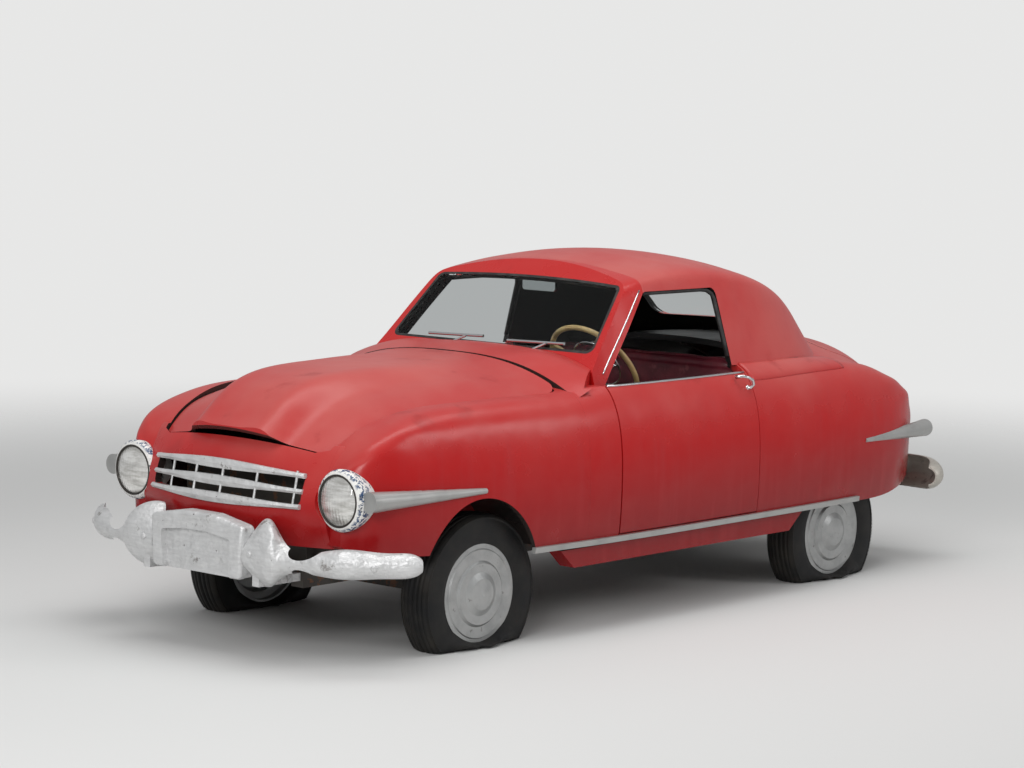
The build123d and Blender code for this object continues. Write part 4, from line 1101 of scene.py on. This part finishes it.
# %% Trunk handle
lid_skin = skin_of("trunk_lid")
hit, normal = struck(lid_skin, (0, 3.0, 0.93), (0, -1, 0))
if hit is None:
    hit, normal = lid_skin.find_nearest(Vector((0, 1.9, 0.9)))[:2]
if normal.y < 0:
    normal = -normal
plate = spun([(0.0, 0.012), (0.010, 0.0115), (0.020, 0.007), (0.023, 0.0)], hit, normal, 28)
across = Vector((1, 0, 0))
grip_path = [hit + across * x + normal * (0.012 + 0.012 * math.cos(x * 22))
             for x in (-0.055, -0.04, -0.02, 0, 0.02, 0.04, 0.055)]
grip = tube(grip_path, [0.004, 0.0065, 0.0075, 0.0085, 0.0075, 0.0065, 0.004], 12)
piece("trunk_handle", *joined(plate, grip), bright, "trunk_lid", "bright_trim")
print("trunk handle at", [round(c, 3) for c in hit])

# %% [markdown]
# The dashboard shows two round gauges in front of the driver and a row of knobs. Faces and
# needles are plain; there are no figures on them.

# %% Gauges and knobs
dash_skin = skin_of("dashboard")


def dash_at(x, z):
    """Where the dashboard's face is at a place across the car and a height."""
    hit, normal = struck(dash_skin, (x, 0.4, z), (0, -1, 0))
    if normal.y < 0:
        normal = -normal
    return hit, normal


GAUGE_R, GAUGE_Z, KNOB_Z = 0.048, 0.955, 0.905
parts_bright, parts_ivory = [], []
bezel = [(GAUGE_R + 0.004, 0.0), (GAUGE_R + 0.005, 0.006),
         (GAUGE_R, 0.008), (GAUGE_R - 0.004, 0.004)]
for x in (0.265, 0.395):
    place, aim = dash_at(x, GAUGE_Z)
    parts_bright.append(spun(bezel, place, aim, 40))
    parts_ivory.append(spun([(GAUGE_R - 0.004, 0.003), (0.0, 0.003)], place, aim, 32))
    pivot = place + aim * 0.006
    needle = [pivot, pivot + Vector((-0.6, 0, 0.8)) * GAUGE_R * 0.75]
    parts_bright.append(tube(needle, 0.0014, 6))
knob = [(0.0, 0.022), (0.008, 0.021), (0.010, 0.016), (0.006, 0.010), (0.004, 0.0)]
for x in (-0.06, 0.0, 0.06, 0.12):
    parts_ivory.append(spun(knob, *dash_at(x, KNOB_Z), 20))
piece("gauge_bezels", *joined(*parts_bright), bright, "car_body", "bright_trim")
piece("gauge_faces_and_knobs", *joined(*parts_ivory), ivory, "car_body", "ivory_plastic")
print("gauges: 2, knobs: 4")

# %% [markdown]
# Inside, each door has a leathercloth panel with a window crank and a pull lever.

# %% Door inner panels
inner = skin_of("door_left")


def inside_door(y, z, lift):
    """A point that stands off the left door's inner side."""
    hit = struck(inner, (0.0, y, z), (1, 0, 0))[0]
    return Vector((hit.x - lift, y, z))


def closed_sheet(upper, lower):
    """A thin closed plate between two grids of points, given as rows."""
    rows, columns = len(upper), len(upper[0])
    points = [p for grid in (upper, lower) for line in grid for p in line]
    count, faces = rows * columns, []
    for i in range(rows - 1):
        for k in range(columns - 1):
            a = i * columns + k
            faces.append((a, a + 1, a + columns + 1, a + columns))
            faces.append(tuple(count + c for c in (a, a + columns, a + columns + 1, a + 1)))
    rim = [i * columns for i in range(rows)] + [(rows - 1) * columns + k for k in range(1, columns)]
    rim += [i * columns + columns - 1 for i in range(rows - 2, -1, -1)]
    rim += list(range(columns - 2, 0, -1))
    faces += [(a, b, count + b, count + a) for a, b in zip(rim, rim[1:] + rim[:1])]
    return points, faces


PANEL_FACE, PANEL_BACK = 0.009, 0.001
door_grids = [[[inside_door(-0.41 + 0.05 * i, 0.43 + 0.055 * k, lift) for k in range(9)]
               for i in range(17)] for lift in (PANEL_FACE, PANEL_BACK)]
on_both_sides("door_panel", closed_sheet(*door_grids), leather, both_on_doors, "seat_cover")


def off(foot, *steps):
    """Points at some steps from a foot."""
    return [foot + Vector(step) for step in steps]


crank_foot = inside_door(-0.10, 0.70, PANEL_FACE)
lever_foot = inside_door(0.16, 0.76, PANEL_FACE)
crank_boss = [(0.0, 0.016), (0.014, 0.015), (0.020, 0.008), (0.022, 0.0)]
crank_knob = [(0.0, 0.032), (0.009, 0.030), (0.011, 0.020), (0.008, 0.0)]
lever_boss = [(0.0, 0.014), (0.012, 0.013), (0.018, 0.007), (0.020, 0.0)]
crank_arm = off(crank_foot, (-0.014, 0, 0), (-0.022, 0.030, -0.05), (-0.024, 0.045, -0.085))
lever_arm = off(lever_foot, (-0.012, 0, 0), (-0.024, 0.02, 0), (-0.022, 0.09, -0.006))
INBOARD = (-1, 0, 0)
crank = joined(
    spun(crank_boss, crank_foot, INBOARD, 20),
    tube(crank_arm, 0.006, 10),
    spun(crank_knob, off(crank_foot, (-0.022, 0.045, -0.085))[0], INBOARD, 16),
    spun(lever_boss, lever_foot, INBOARD, 20),
    tube(lever_arm, [0.006, 0.007, 0.005], 10),
)
on_both_sides("door_crank", crank, bright, both_on_doors, "bright_trim")
print("door panels and cranks ready")

# %% [markdown]
# Beside the foot of the top a separate strip of panel closes the gap to the rear fender.
# It stands a little proud and ends in a square step. A grid dropped on the fender from
# above gives it its shape.

# %% Panels beside the top
quarter_skin = skin_of("rear_body")
STEP_START, STEP_LENGTH, ALONG, ACROSS = 0.452, 0.70, 32, 6


def step_panel():
    """A thin plate that follows the fender and narrows toward the rear."""
    grids = []
    for lift in (0.010, -0.003):
        rows = []
        for i in range(ALONG + 1):
            y = STEP_START + STEP_LENGTH * i / ALONG
            narrow = (i / ALONG) ** 2
            inner_x, outer_x = 0.640 - 0.075 * narrow, 0.712 - 0.030 * narrow
            row = []
            for k in range(ACROSS + 1):
                x = inner_x + (outer_x - inner_x) * k / ACROSS
                hit = struck(quarter_skin, (x, y, 1.6), (0, 0, -1))[0]
                edge = -0.004 if k == ACROSS and lift > 0 else 0.0
                row.append(hit + Vector((0, 0, lift + edge)))
            rows.append(row)
        grids.append(rows)
    return closed_sheet(*grids)


on_both_sides("step_panel", step_panel(), tail_paint, both_on_body, "body_paint")
print("step panels beside the top:", STEP_LENGTH, "m long")

# %% [markdown]
# The floor is one pale square that fades out into the backdrop, so no edge shows. It is
# only a stage.

# %% Floor and its finish
FLOOR = 14
floor = bpy.data.objects.new("floor", bpy.data.meshes.new("floor"))
bpy.context.collection.objects.link(floor)
corners = [(-FLOOR, -FLOOR, 0), (FLOOR, -FLOOR, 0), (FLOOR, FLOOR, 0), (-FLOOR, FLOOR, 0)]
floor.data.from_pydata(corners, [], [(0, 1, 2, 3)])
pale = Finish("pale_floor").set(Base_Color=(0.70, 0.70, 0.69), Roughness=0.9)
pale.set(Specular_IOR_Level=0.1)
from_middle = (pale.x ** 2 + pale.y ** 2).sqrt()
pale.set(Alpha=from_middle.step(9.0, 3.2))
floor.data.materials.append(pale.material)
